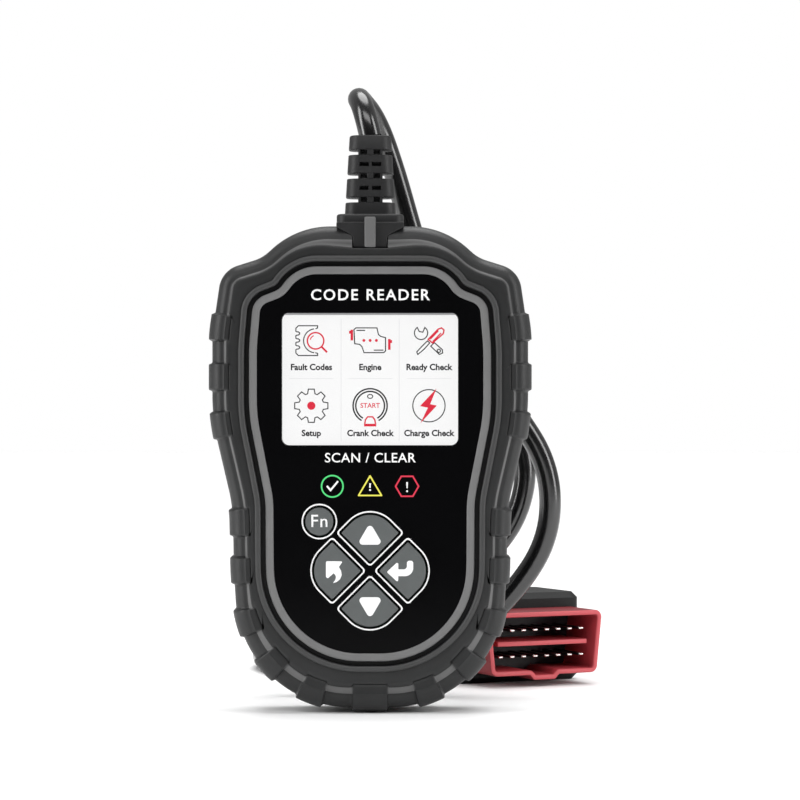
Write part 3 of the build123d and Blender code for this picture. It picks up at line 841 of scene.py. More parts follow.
# ======== trim ========
def build_trim():
    corners = mirrored(TRIM_CORNERS)
    plan = outline_plan(corners, 0.6)
    low = back_of("bezel_trim")
    high = front_of("bezel_trim")
    profile = [(0.0, low), (0.0, high - 0.35), (0.1, high - 0.12), (0.35, high), (1.1, high)]
    profile += [(1.9, high), (2.1, high - 0.08), (2.2, high - 0.25), (2.2, low)]
    points = []
    for x, z, nx, nz in outline_points(corners, plan):
        points += [at(x - nx * inset, z - nz * inset, depth) for inset, depth in profile]
    rows = len(points) // len(profile)
    trim = add_mesh("trim_ring", points, grid_faces(rows, len(profile), True, True), "trim_gray")
    outward(trim)
    sharpen(trim, 60)
    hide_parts("bezel_trim")
    on_root(trim)


# ======== keys ========
def fan_corners(inset=0.0):
    """A fan key's outline or its ring, as corners to round, before it is turned."""
    near = FAN_NEAR + inset * math.sqrt(2)
    half = FAN_HALF - inset * math.sqrt(2)
    middle = FAN_NEAR + FAN_HALF
    corner = max(0.25, FAN_CORNER - inset * 0.65)
    return [
        (0.0, middle + half, FAN_ROUND - inset),
        (half, middle, corner),
        (0.0, near, corner),
        (-half, middle, corner),
    ]


def key_loop(key, inset):
    """The loop that lies inset millimetres inside the outer edge of a key's ring."""
    if key == "fn":
        return circle(*FN_PLACE, FN_RADIUS + FN_RING - inset, count=72)
    loop = loop_of(fan_corners(inset), 0.25)
    return placed(turned(loop, FAN_TURNS[key]), 0.0, PAD_Z)


KEY_INSET = 1.08
KEY_SKIRT = 1.5


def build_keys():
    s = sizes()
    for key in ("fn", *FAN_TURNS):
        node = key + "_key"
        loop = key_loop(key, KEY_INSET)
        cx = sum(p[0] for p in loop) / len(loop)
        cz = sum(p[1] for p in loop) / len(loop)
        face = front_of(node)
        back = back_of(node) + KEY_SKIRT
        rounding = s.key_round / MM
        rings = [(0.0, back), (0.0, face - rounding)]
        rings += [
            (rounding * (1 - math.cos(a)), face - rounding * (1 - math.sin(a)))
            for a in (math.radians(d) for d in (22, 45, 68, 90))
        ]
        points = []
        for inset, depth in rings:
            for x, z in loop:
                reach = math.hypot(x - cx, z - cz)
                keep = (reach - inset) / reach
                points.append(at(cx + (x - cx) * keep, cz + (z - cz) * keep, depth))
        count = len(loop)
        dome = s.key_dome / MM
        for keep in (0.75, 0.5, 0.25):
            for x, z in loop:
                reach = math.hypot(x - cx, z - cz)
                shrink = (reach - rounding) / reach * keep
                rise = face + dome * (1 - keep * keep) - dome
                depth = max(face - dome, rise)
                points.append(at(cx + (x - cx) * shrink, cz + (z - cz) * shrink, depth))
        ring_total = len(points) // count
        faces = grid_faces(ring_total, count, False, True)
        points.append(at(cx, cz, face))
        tip = len(points) - 1
        last = (ring_total - 1) * count
        faces += [(last + i, last + (i + 1) % count, tip) for i in range(count)]
        faces.append(tuple(range(count)))
        cap = add_mesh(key + "_cap", points, faces, "key_gray")
        outward(cap)
        sharpen(cap, 50)
        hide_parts(node)
        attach(cap, key)
        mark = key_mark(key, face)
        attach(mark, key)


ARROW = [(0.0, 3.7, 0.95), (3.6, -2.45, 0.9), (-3.6, -2.45, 0.9)]
ARROW_REACH = 9.75
BACK_ARROW = [
    (-2.25, 2.81, 0.35),
    (2.45, 2.78, 0.25),
    (1.34, 1.22, 0.1),
    (1.95, 0.15, 0.8),
    (2.14, -1.05, 0.9),
    (1.66, -2.25, 0.8),
    (0.68, -3.0, 0.6),
    (-0.3, -3.28, 0.05),
    (0.35, -2.38, 0.5),
    (0.54, -1.58, 0.4),
    (0.28, -0.92, 0.3),
    (-0.12, -0.55, 0.08),
    (-1.72, -1.95, 0.22),
    (-2.25, -1.6, 0.2),
]
ENTER_ARROW = [
    (-3.75, -0.2, 0.3),
    (-0.55, 2.8, 0.35),
    (-0.55, 0.55, 0.1),
    (1.85, 0.55, 0.9),
    (1.85, 2.95, 0.7),
    (3.6, 2.95, 0.7),
    (3.6, -1.35, 2.3),
    (-0.55, -1.35, 0.1),
    (-0.55, -3.2, 0.35),
]


def key_mark(key, face):
    """The white symbol printed on a key."""
    low, high = face - 0.02, face + sizes().print_rise / MM
    if key == "fn":
        return lettering("fn_mark", "Fn", *FN_PLACE, 3.55, low, high, "white_ink", 0.03, 1.12)
    if key in ("up", "down"):
        side = 1 if key == "up" else -1
        loop = turned(loop_of(ARROW, 0.15), 0 if side > 0 else 180)
        loop = placed(loop, 0.0, PAD_Z + side * ARROW_REACH)
    elif key == "enter":
        loop = placed(loop_of(ENTER_ARROW, 0.15), 8.4, PAD_Z - 0.1)
    else:
        loop = placed(loop_of(BACK_ARROW, 0.12), -10.0, PAD_Z - 0.1)
    return flat_piece(key + "_mark", [[loop]], low, high, "white_ink")


# ======== panel print ========
STATUS_Z = 63.4
READY_X = -10.5
FAULT_X = 10.3
STATUS_LINE = 0.42
PRINT_SINK = 0.01


def build_panel_print():
    """Rings round the keys, two lines of words and three status symbols."""
    s = sizes()
    face = front_of("front_panel")
    low, high = face - PRINT_SINK, face + s.print_rise / MM
    width = s.ring_width / MM
    made = []

    def printed(name, loops, material="white_ink"):
        made.append(flat_piece(name, loops, low, high, material))

    def words(name, text, z, cap, bold, spacing):
        made.append(lettering(name, text, 0, z, cap, low, high, "white_ink", bold, spacing))

    for key in ("fn", *FAN_TURNS):
        printed(key + "_ring", [[key_loop(key, 0.0), key_loop(key, width)]])
    words("panel_title", "CODE READER", 116.5, 3.1, 0.07, 1.2)
    words("panel_words", "SCAN / CLEAR", 71.2, 2.7, 0.03, 1.06)
    printed("ready_symbol", [ring_loops(READY_X, STATUS_Z, 3.2, STATUS_LINE)], "status_green")
    tick = ribbon([(-1.5, 0.1), (-0.5, -1.1), (1.6, 1.4)], 0.5)
    printed("ready_tick", [[placed(tick[0], READY_X, STATUS_Z)]])
    outer = loop_of([(0, 3.3, 0.2), (3.55, -2.75, 0.2), (-3.55, -2.75, 0.2)], 0.2)
    inner = loop_of([(0, 2.45, 0.1), (2.85, -2.35, 0.1), (-2.85, -2.35, 0.1)], 0.2)
    triangle = [placed(outer, 0, STATUS_Z), placed(inner, 0, STATUS_Z)]
    printed("caution_symbol", [triangle], "status_yellow")
    angles = [math.radians(a) for a in range(0, 360, 60)]
    hexagon = [(3.2 * math.cos(a), 3.2 * math.sin(a)) for a in angles]
    fault = ribbon(placed(hexagon, FAULT_X, STATUS_Z), STATUS_LINE, True)
    printed("fault_symbol", [fault], "status_red")
    marks = []
    mark_z = 63.3
    for x, tall in ((0.0, 1.7), (FAULT_X, 2.3)):
        top, foot = tall * 0.55, -tall * 0.2
        marks.append([placed([(-0.24, top), (0.24, top), (0.15, foot), (-0.15, foot)], x, mark_z)])
        marks.append([circle(x, mark_z - top, 0.26, count=16)])
    printed("alert_marks", marks)
    on_root(*made)


# ======== screen ========
PAGE_LAYER = 0.02


def page_piece(name, loops, material, level=1):
    """A flat part of the lit picture, a hair above the display's face."""
    base = front_of("lcd_glass") + PAGE_LAYER * level
    return flat_piece(name, loops, base, base + PAGE_LAYER, material)


def page_words(name, text, x, z, cap, material, bold):
    base = front_of("lcd_glass") + 3 * PAGE_LAYER
    return lettering(name, text, x, z, cap, base, base + PAGE_LAYER, material, bold)


def gear_loop(outer, inner, teeth):
    """A toothed outline about its own middle."""
    points = []
    for tooth in range(teeth):
        middle = 360 * tooth / teeth + 90
        for offset, radius in ((-17, inner), (-10, outer), (10, outer), (17, inner)):
            a = math.radians(middle + offset)
            points.append((radius * math.cos(a), radius * math.sin(a)))
    return points


def codes_picture(w):
    """A notched list with a magnifying glass over it."""
    edge = [(1.2, 3.25), (1.75, 3.5), (1.75, 4.1), (-3.6, 4.1), (-4.3, 3.4)]
    for notch in (1.95, 0.0, -1.95):
        for dx, dz in ((0.0, 0.62), (0.2, 0.48), (0.75, 0.42), (1.05, 0.15)):
            edge.append((dx - 4.3, notch + dz))
        for dx, dz in ((1.05, -0.15), (0.75, -0.42), (0.2, -0.48), (0.0, -0.62)):
            edge.append((dx - 4.3, notch + dz))
    edge += [(-4.3, -3.5), (-3.6, -4.2), (1.75, -4.2), (1.75, -3.6), (1.1, -3.4)]
    dark = [ribbon(edge, w), ribbon(circle(1.2, -0.1, 3.35, 98, 165, 24), w)]
    red = [ring_loops(1.2, -0.1, 2.5, 0.42), ribbon([(2.95, -1.85), (4.4, -3.3)], 0.55)]
    return dark, red + [ribbon(circle(1.2, -0.1, 1.5, 110, 60, 10), w)]


def engine_picture(w):
    """An engine block with three dots."""
    block = [(-4.0, 3.5), (1.9, 3.5), (2.3, 1.7), (3.0, 1.1), (4.3, 0.8), (4.3, -2.9), (3.8, -3.4)]
    block += [(-1.7, -3.4), (-2.3, -1.7), (-2.9, -1.1), (-4.3, -0.9), (-4.5, 3.0)]
    dark = [ribbon(block, w, True)]
    dark += [ribbon(line, 0.3) for line in ([(-3.8, 2.8), (-1.4, 2.8)], [(1.0, -2.7), (3.7, -2.7)])]
    red = [[circle(x, 0, 0.42, count=14)] for x in (-1.75, 0.0, 1.75)]
    for side, x, middle in ((-1, 5.1, 1.5), (1, 5.35, -1.1)):
        red.append(ribbon([(side * x, middle + 1.5), (side * x, middle - 1.5)], 0.7))
        red.append(ribbon([(side * (x + 0.55), middle + 1.2), (side * (x + 0.55), middle + 0.4)], 0.45))
    return dark, red


def tools_picture(w):
    """A spanner crossed with a screwdriver."""
    jaw = circle(-2.2, 2.1, 1.85, 125, 290, 24) + [(-1.7, 2.3), (-2.7, 2.5)]
    haft = [(0.5, -1.6), (1.5, -0.6), (3.75, -2.6), (3.8, -3.5), (2.9, -3.9)]
    blade = [(-0.4, -0.1), (-2.0, -1.7), (-3.4, -3.2), (-3.1, -3.9), (-1.3, -2.4), (0.2, -0.7)]
    dark = [ribbon(line, w, True) for line in (jaw, haft, blade, circle(2.75, -2.9, 0.45, count=16))]
    grip = [(-0.2, 0.3), (2.5, 3.1), (3.5, 3.5), (4.2, 2.9), (4.0, 1.9), (1.0, -0.7)]
    grooves = [[(0.3 + k, 0.4 - k), (2.6 + k, 2.8 - k)] for k in (0.05, 0.75)]
    return dark, [ribbon(grip, 0.4, True)] + [ribbon(line, 0.38) for line in grooves]


def setup_picture(w):
    """A gear."""
    return [ribbon(gear_loop(4.7, 3.5, 8), w, True)], [[circle(0, 0, 1.15)]]


def start_picture(w):
    """A round start button with a fingertip on it."""
    dark = [ribbon(circle(0, 0, r, -60, 300, 60), w * 1.4) for r in (4.75, 4.0)]
    oval = [(x * 1.3, z) for x, z in circle(0, 0, 0.55, count=24)]
    dark.append(ribbon(placed(oval, 0, 2.6), 0.28, True))
    tip = [(-1.5, -5.0), (-1.3, -3.9), (-0.7, -3.1), (0.7, -3.1), (1.3, -3.9), (1.5, -5.0)]
    return dark, [ribbon(tip, 0.4), ribbon([(-1.7, -5.4), (1.7, -5.4)], 0.75)]


def charge_picture(w):
    """A lightning bolt in a ring."""
    bolt = [(2.1, 4.8), (-2.5, -0.1), (-0.3, -0.55), (-2.4, -4.9), (2.2, 0.05), (0.35, 0.45)]
    return [ring_loops(0, 0, 4.65, w)], [[bolt]]


PICTURES = [codes_picture, engine_picture, tools_picture, setup_picture, start_picture, charge_picture]
TILE_NAMES = ["Fault Codes", "Engine", "Ready Check", "Setup", "Crank Check", "Charge Check"]
TILE_X = [-16.4, 0.0, 16.4]
TILE_ROWS = [(104.0, 96.5), (85.8, 78.1)]
LABEL_CAP = 1.72
LABEL_BOLD = 0.075


def build_screen():
    low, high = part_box("display_lens")
    half_wide = (high.x - low.x) / MM / 2
    half_tall = (high.z - low.z) / MM / 2
    page = loop_of(oblong(2 * half_wide, 2 * half_tall, SCREEN_CORNER), 0.3)
    made = [page_piece("screen_page", [[placed(page, 0, SCREEN_Z)]], "page_light")]
    top = SCREEN_Z + half_tall
    # A grey band along the page's top edge: a painted shadow of the screen's rim.
    shade = [(-half_wide + 0.6, top), (half_wide - 0.6, top)]
    shade += [(half_wide - 0.3, top - 0.5), (-half_wide + 0.3, top - 0.5)]
    made.append(page_piece("screen_painted_shadow", [[shade]], "page_painted_shadow", 2))
    rules = [ribbon([(x, top - 1.6), (x, SCREEN_Z - half_tall + 1.2)], 0.16) for x in (-8.1, 8.1)]
    rules += [ribbon([(x - 6.2, 93.4), (x + 6.2, 93.4)], 0.14) for x in TILE_X]
    made.append(page_piece("screen_rules", rules, "page_rule", 2))
    dark, red = [], []
    line = sizes().icon_line / MM
    for number, picture in enumerate(PICTURES):
        dark_loops, red_loops = picture(line)
        x = TILE_X[number % 3]
        z = TILE_ROWS[number // 3][0]
        dark += [[placed(loop, x, z) for loop in group] for group in dark_loops]
        red += [[placed(loop, x, z) for loop in group] for group in red_loops]
    made.append(page_piece("screen_lines", dark, "page_ink", 3))
    made.append(page_piece("screen_accents", red, "page_accent", 4))
    for number, text in enumerate(TILE_NAMES):
        x = TILE_X[number % 3]
        z = TILE_ROWS[number // 3][1]
        name = f"tile_words_{number + 1}"
        made.append(page_words(name, text, x, z, LABEL_CAP, "page_ink", LABEL_BOLD))
    start_z = TILE_ROWS[1][0]
    made.append(page_words("start_words", "START", TILE_X[1], start_z, 1.35, "page_accent", 0.03))
    on_root(*made)


# ======== strain relief and neck ========
RELIEF_LEVELS = (139.4, 161.8)
RELIEF_WIDTHS = (14.4, 11.7)
RELIEF_DEPTHS = (11.4, 10.0)
RELIEF_CORNER = 3.5
SLITS = [143.6, 150.3, 157.0]
SLIT_HALF = 0.75
SLIT_CORE = 3.4
SLIT_SOFT = 0.14
NOTCHES = [146.9, 153.6]
NOTCH_HALF = 0.6
COLLAR = (18.8, 19.0, 136.1, 139.4)
COLLAR_CORNER = 3.0
COLLAR_ROUND = 0.7
NECK_HALF = 4.8
NECK_SILL = 129.9
NECK_FRONT = 11.4
FLARE_LOW = 133.2
FLARE_HIGH = 135.6
RIDGE_HALF = 1.55
RIDGE_FRONT = 12.4
RIDGE_TOP = 138.4


UPRIGHT_FOOT = oblong(RELIEF_WIDTHS[0], RELIEF_DEPTHS[0], RELIEF_CORNER)
UPRIGHT_PLAN = outline_plan(UPRIGHT_FOOT, 0.25)


def upright_loop(width, depth, corner, shrink=0.0):
    """A rounded oblong seen from above, as (x, y) in millimetres, always with as many points."""
    shape = oblong(width, depth, corner, shrink)
    return [(x, y) for x, y, _, _ in outline_points(shape, UPRIGHT_PLAN)]


def stacked(points, faces, loops):
    """Adds a closed stack of (loop, z) sections to a mesh's points and faces."""
    first = len(points)
    count = len(loops[0][0])
    for loop, z in loops:
        points += [(x * MM, y * MM, z * MM) for x, y in loop]
    for a, b, c, d in grid_faces(len(loops), count, False, True):
        faces.append((first + a, first + b, first + c, first + d))
    for start in (first, first + (len(loops) - 1) * count):
        faces.append(tuple(range(start, start + count)))


def held(value, limit):
    return max(-limit, min(limit, value))


def relief_section(z, shrink=0.0, slit=False, notch=False):
    share = (z - RELIEF_LEVELS[0]) / (RELIEF_LEVELS[1] - RELIEF_LEVELS[0])
    width = RELIEF_WIDTHS[0] + (RELIEF_WIDTHS[1] - RELIEF_WIDTHS[0]) * share
    depth = RELIEF_DEPTHS[0] + (RELIEF_DEPTHS[1] - RELIEF_DEPTHS[0]) * share
    loop = []
    for x, y in upright_loop(width, depth, RELIEF_CORNER, shrink):
        if slit:
            x = held(x, SLIT_CORE)
        if (slit and 1.0 < abs(x) < 2.7) or (notch and 0.5 < abs(x) < 2.9):
            y = held(y, depth / 2 - 1.5)
        loop.append((x, y))
    return loop, z


def relief_sleeve():
    """The slit sleeve's sections from its foot to its tip, with softened edges at each slit."""
    low, high = RELIEF_LEVELS
    cuts = [(z, SLIT_HALF, True) for z in SLITS] + [(z, NOTCH_HALF, False) for z in NOTCHES]
    sections = [relief_section(low)]
    for z, half, slit in sorted(cuts):
        kind = {"slit": slit, "notch": not slit}
        edge = SLIT_SOFT if slit else 0.0
        sections += [relief_section(z - half - SLIT_SOFT), relief_section(z - half, edge)]
        sections += [relief_section(z - half, **kind), relief_section(z + half, **kind)]
        sections += [relief_section(z + half, edge), relief_section(z + half + SLIT_SOFT)]
    tip = [(high - 0.5, 0.0), (high - 0.15, 0.15), (high, 0.5)]
    return sections + [relief_section(z, shrink) for z, shrink in tip]


def flatten_caps(obj):
    """Flat shading on the faces of many corners that close a stack."""
    for face in obj.data.polygons:
        if len(face.vertices) > 4:
            face.use_smooth = False


def build_relief():
    points, faces = [], []
    stacked(points, faces, relief_sleeve())
    wide, deep, low, high = COLLAR
    turn_z = high - COLLAR_ROUND
    collar = [(upright_loop(wide, deep, COLLAR_CORNER), z) for z in (low, turn_z)]
    for a in (math.radians(d) for d in (30, 60, 90)):
        shrink = COLLAR_ROUND * (1 - math.cos(a))
        loop = upright_loop(wide, deep, COLLAR_CORNER, shrink)
        collar.append((loop, turn_z + COLLAR_ROUND * math.sin(a)))
    stacked(points, faces, collar)
    outline = [
        (NECK_HALF, NECK_SILL, 0.4),
        (-NECK_HALF, NECK_SILL, 0.4),
        (-NECK_HALF, FLARE_LOW, 1.5),
        (-wide / 2, FLARE_HIGH, 0.5),
        (-wide / 2, low + 0.9, 0.4),
        (wide / 2, low + 0.9, 0.4),
        (wide / 2, FLARE_HIGH, 0.5),
        (NECK_HALF, FLARE_LOW, 1.5),
    ]
    for shape, front, soft in ((outline, NECK_FRONT, 0.25), (ridge_outline(), RIDGE_FRONT, 0.3)):
        first = len(points)
        plan = outline_plan(shape, 0.4)
        places = outline_points(shape, plan)
        levels = [(soft, -front), (soft * 0.3, -front + soft * 0.3), (0.0, -front + soft)]
        levels += [(inset, -depth) for inset, depth in reversed(levels)]
        for inset, depth in levels:
            points += [at(x - nx * inset, z - nz * inset, depth) for x, z, nx, nz in places]
        count = len(places)
        sides = grid_faces(len(levels), count, False, True)
        faces += [tuple(first + i for i in face) for face in sides]
        last = first + (len(levels) - 1) * count
        faces += [tuple(range(first, first + count)), tuple(range(last, last + count))]
        if shape is outline:
            plain = len(points)
    relief = add_mesh("relief", points, faces, "relief_vinyl")
    # The ridge's points get a painted highlight; the neck stays plain.
    mark_painted_light(relief, [0.0 if i < plain else 1.0 for i in range(len(points))])
    outward(relief)
    sharpen(relief, 35)
    flatten_caps(relief)
    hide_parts("strain_relief")
    on_root(relief)


def ridge_outline():
    """The ridge down the front of the neck, clockwise."""
    return [
        (RIDGE_HALF, RIDGE_TOP, 0.4),
        (RIDGE_HALF, NECK_SILL, 0.4),
        (-RIDGE_HALF, NECK_SILL, 0.4),
        (-RIDGE_HALF, RIDGE_TOP, 0.4),
    ]


# ======== plug ========
PLUG_FRAME = Matrix.Translation((0.0526, 0.066, 0.0132)) @ Matrix.Rotation(math.radians(26), 4, "Z")
MOUTH = [(20.2, 9.6, 2.2), (18.2, -9.6, 2.2), (5.1, -9.6, 0.4), (3.6, -11.1, 0.4)]
SHROUD_WALL = 1.5
SHROUD_LENGTH = 16.0
SEAT_STEP = 0.3
INSERT_FACE = 18.5
INSERT_SEAT = 22.0
BAR_HALF = 15.5
BAR_THICK = 1.4
BAR_FACE = 1.5
PIN_PITCH = 4.0
PIN_ROW = 4.0
PIN_TIP = 2.2
PIN_TAIL = 30.0
PIN_HALF_WIDE = 0.75
PIN_HALF_THICK = 0.35
BRIGHT_TIP = 1.0
# Painted light on the plug: painted highlights on the rim and inner walls, painted shade on the outer
# walls.
RIM_PAINTED_HIGHLIGHT = 0.9
INNER_PAINTED_HIGHLIGHT = 0.3
OUTER_PAINTED_SHADE = -0.55


def inset_corners(corners, inset):
    """The same outline moved inwards, corner by corner, with its arcs kept concentric."""
    count = len(corners)
    moved = []
    for i, (x, z, r) in enumerate(corners):
        here = Vector((x, z))
        way_in = (here - Vector(corners[i - 1][:2])).normalized()
        way_out = (Vector(corners[(i + 1) % count][:2]) - here).normalized()
        turn = way_in.x * way_out.y - way_in.y * way_out.x
        inner_in = Vector((way_in.y, -way_in.x))
        inner_out = Vector((way_out.y, -way_out.x))
        middle = (inner_in + inner_out).normalized()
        place = here + middle * (inset / middle.dot(inner_in))
        radius = max(0.15, r - inset) if turn < 0 else r + inset
        moved.append((place.x, place.y, radius))
    return moved


def in_plug(obj):
    """Moves a mesh made in the plug's own frame to where the plug lies."""
    obj.data.transform(PLUG_FRAME)
    obj.data.update()


def swept_rings(corners, rings, step):
    """Points of an outline at each (inset, distance behind the mouth), ring by ring."""
    plan = outline_plan(corners, step)
    points = []
    for inset, back in rings:
        shape = inset_corners(corners, inset) if inset else corners
        points += [(x * MM, back * MM, z * MM) for x, z, _, _ in outline_points(shape, plan)]
    return points, len(points) // len(rings)


def build_shroud():
    corners = mirrored(MOUTH)
    rings = [(0.0, SHROUD_LENGTH), (0.0, 0.35), (0.1, 0.1), (0.35, 0.0), (0.9, 0.0)]
    rings += [(1.25, 0.12), (SHROUD_WALL, 0.5), (SHROUD_WALL, INSERT_SEAT)]
    rings += [(SEAT_STEP, INSERT_SEAT), (SEAT_STEP, SHROUD_LENGTH)]
    points, count = swept_rings(corners, rings, 0.6)
    shroud = add_mesh("shroud", points, grid_faces(len(rings), count, True, True), "plug_red")
    # Painted light on the shroud: a painted highlight on the rim and inner walls, painted shade on the
    # outer walls.
    painted_lights = []
    for inset, back in rings:
        on_rim = back < 0.3
        painted_lights += [RIM_PAINTED_HIGHLIGHT if on_rim else INNER_PAINTED_HIGHLIGHT if inset > 1 else OUTER_PAINTED_SHADE] * count
    mark_painted_light(shroud, painted_lights)
    outward(shroud)
    sharpen(shroud, 50)
    in_plug(shroud)
    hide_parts("plug_shroud")
    bar_corners = oblong(2 * BAR_HALF, BAR_THICK, 0.2)
    rings = [(0.0, INSERT_FACE), (0.0, BAR_FACE + 0.2), (0.06, BAR_FACE + 0.06), (0.14, BAR_FACE)]
    points, count = swept_rings(bar_corners, rings, 0.4)
    faces = grid_faces(len(rings), count, False, True)
    faces += [tuple(range(count)), tuple(range(len(points) - count, len(points)))]
    bar = add_mesh("divider_bar", points, faces, "plug_red")
    rim = (BAR_FACE + 0.1) * MM
    # Painted highlight on the divider's front edge and its faces.
    mark_painted_light(bar, [RIM_PAINTED_HIGHLIGHT if v.co.y < rim else INNER_PAINTED_HIGHLIGHT for v in bar.data.vertices])
    outward(bar)
    sharpen(bar, 50)
    in_plug(bar)
    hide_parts("plug_divider")
    for piece in (shroud, bar):
        on_root(piece)


def pin_template():
    """One blade pin at the middle of its row, its tip softened."""
    points = []
    for y, shrink in ((PIN_TIP, 0.2), (PIN_TIP + 0.35, 0.0), (PIN_TAIL, 0.0)):
        w, h = PIN_HALF_WIDE - shrink, PIN_HALF_THICK - shrink
        points += [(x * MM, y * MM, z * MM) for x, z in ((w, h), (w, -h), (-w, -h), (-w, h))]
    faces = grid_faces(3, 4, False, True) + [(0, 1, 2, 3), (8, 9, 10, 11)]
    pin = add_mesh("pin_template", points, faces, "pin_tin", smooth=False)
    outward(pin)
    return pin


def add_input(tree, name, kind, value):
    socket = tree.interface.new_socket(name=name, in_out="INPUT", socket_type=kind)
    socket.default_value = value
    return socket.identifier


def row_tree():
    """A node tree that stands copies of a piece in an evenly spaced row."""
    tree = bpy.data.node_groups.new("pin_row", "GeometryNodeTree")
    tree.interface.new_socket(name="Geometry", in_out="INPUT", socket_type="NodeSocketGeometry")
    tree.interface.new_socket(name="Geometry", in_out="OUTPUT", socket_type="NodeSocketGeometry")
    names = {
        "Count": add_input(tree, "Count", "NodeSocketInt", 8),
        "Pitch": add_input(tree, "Pitch", "NodeSocketFloat", PIN_PITCH * MM),
        "Height": add_input(tree, "Height", "NodeSocketFloat", 0.0),
        # Pins are dark behind this depth: painted shade inside the shroud.
        "Painted shade start": add_input(tree, "Painted shade start", "NodeSocketFloat", 0.0033),
    }
    nodes, links = tree.nodes, tree.links
    source = nodes.new("NodeGroupInput")
    result = nodes.new("NodeGroupOutput")
    line = nodes.new("GeometryNodeMeshLine")
    offset = nodes.new("ShaderNodeCombineXYZ")
    links.new(source.outputs["Pitch"], offset.inputs["X"])
    links.new(source.outputs["Count"], line.inputs["Count"])
    links.new(offset.outputs["Vector"], line.inputs["Offset"])
    spans = math_node(tree, "SUBTRACT", source.outputs["Count"], 1.0)
    reach = math_node(tree, "MULTIPLY", spans, source.outputs["Pitch"])
    start = nodes.new("ShaderNodeCombineXYZ")
    links.new(math_node(tree, "MULTIPLY", reach, -0.5), start.inputs["X"])
    links.new(source.outputs["Height"], start.inputs["Z"])
    links.new(start.outputs["Vector"], line.inputs["Start Location"])
    copies = nodes.new("GeometryNodeInstanceOnPoints")
    links.new(line.outputs["Mesh"], copies.inputs["Points"])
    links.new(source.outputs["Geometry"], copies.inputs["Instance"])
    solid = nodes.new("GeometryNodeRealizeInstances")
    links.new(copies.outputs["Instances"], solid.inputs["Geometry"])
    tin = nodes.new("GeometryNodeSetMaterial")
    tin.inputs["Material"].default_value = MATERIALS["pin_tin"]
    links.new(solid.outputs["Geometry"], tin.inputs["Geometry"])
    place = nodes.new("GeometryNodeInputPosition")
    split = nodes.new("ShaderNodeSeparateXYZ")
    links.new(place.outputs["Position"], split.inputs["Vector"])
    behind = nodes.new("FunctionNodeCompare")
    behind.data_type = "FLOAT"
    behind.operation = "GREATER_THAN"
    links.new(split.outputs["Y"], behind.inputs[0])
    links.new(source.outputs["Painted shade start"], behind.inputs[1])
    # Behind the tip each pin turns dark: painted shade inside the shroud.
    sleeve = nodes.new("GeometryNodeSetMaterial")
    sleeve.inputs["Material"].default_value = MATERIALS["pin_painted_shade"]
    links.new(tin.outputs["Geometry"], sleeve.inputs["Geometry"])
    links.new(behind.outputs["Result"], sleeve.inputs["Selection"])
    links.new(sleeve.outputs["Geometry"], result.inputs["Geometry"])
    return tree, names


def build_pins():
    tree, names = row_tree()
    for name, side in (("upper_pins", 1), ("lower_pins", -1)):
        source = pin_template()
        modifier = source.modifiers.new("row", "NODES")
        modifier.node_group = tree
        modifier[names["Count"]] = 8
        modifier[names["Pitch"]] = PIN_PITCH * MM
        modifier[names["Height"]] = side * PIN_ROW * MM
        modifier[names["Painted shade start"]] = (PIN_TIP + BRIGHT_TIP) * MM
        graph = bpy.context.evaluated_depsgraph_get()
        mesh = bpy.data.meshes.new_from_object(source.evaluated_get(graph))
        bpy.data.objects.remove(source)
        row = new_object(name + "_row", mesh)
        in_plug(row)
        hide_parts(name)
        on_root(row)


# ======== cord ========
def build_cord():
    curve = bpy.data.curves.new("lead", "CURVE")
    curve.dimensions = "3D"
    spline = curve.splines.new("NURBS")
    spline.points.add(len(CORD_ROUTE) - 1)
    for point, place in zip(spline.points, CORD_ROUTE):
        point.co = (*place, 1.0)
    spline.order_u = 3
    spline.use_endpoint_u = True
    spline.resolution_u = 12
    curve.bevel_depth = CORD_DIAMETER / 2
    curve.bevel_resolution = 8
    curve.use_fill_caps = True
    cord = new_object("lead", curve)
    curve.materials.append(MATERIALS["cord_vinyl"])
    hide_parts("cord_lead")
    on_root(cord)


# ======== the frame's own parts ========
def dress_frame_parts():
    """Gives each frame part its own finish; the front case shows only in the dark groove."""
    for entry in frame["record"]["subparts"]:
        wear_slot_material(NODES[entry["node"]], entry["material_slot"])
    wear_slot_material(NODES["front_case"], "case_painted_shade")


# ======== stage ========
CAMERA_LENS = 129.6
CAMERA_SENSOR = 36.0
CAMERA_PLACE = (0.00833, -0.813, 0.0874)
LIGHT_AIM = Vector((0.0, 0.0, 0.08))
FLOOR_FRONT = -0.35
FLOOR_REACH = 4.0
FRONT_GLOW = 0.05
BACK_GLOW = 0.45
SKY_POWER = 2.6
SKY_SPREAD = 50


def area_light(name, place, power, width, height):
    """A soft box that faces the reader."""
    light = bpy.data.lights.new(name, "AREA")
    light.shape = "RECTANGLE"
    light.size = width
    light.size_y = height
    light.energy = power
    lamp = new_object(name, light)
    lamp.location = place
    lamp.rotation_euler = (LIGHT_AIM - Vector(place)).to_track_quat("-Z", "Y").to_euler()


def build_camera():
    camera = bpy.data.cameras.new("camera")
    camera.lens = CAMERA_LENS
    camera.sensor_width = CAMERA_SENSOR
    camera.clip_end = 50
    holder = new_object("camera", camera)
    holder.location = CAMERA_PLACE
    holder.rotation_euler = (math.radians(90), 0, 0)
    bpy.context.scene.camera = holder


def floor_material():
    """The floor's white, hardly glossy finish."""
    tree, shader = new_material("floor_white")
    shader.inputs["Roughness"].default_value = 0.75
    shader.inputs["Specular IOR Level"].default_value = 0.1
    mottle = spread(tree, object_noise(tree, 3), 0, 1)
    shade = tint(tree, mottle, (0.92, 0.92, 0.92), (0.94, 0.94, 0.94))
    tree.links.new(shade, shader.inputs["Base Color"])


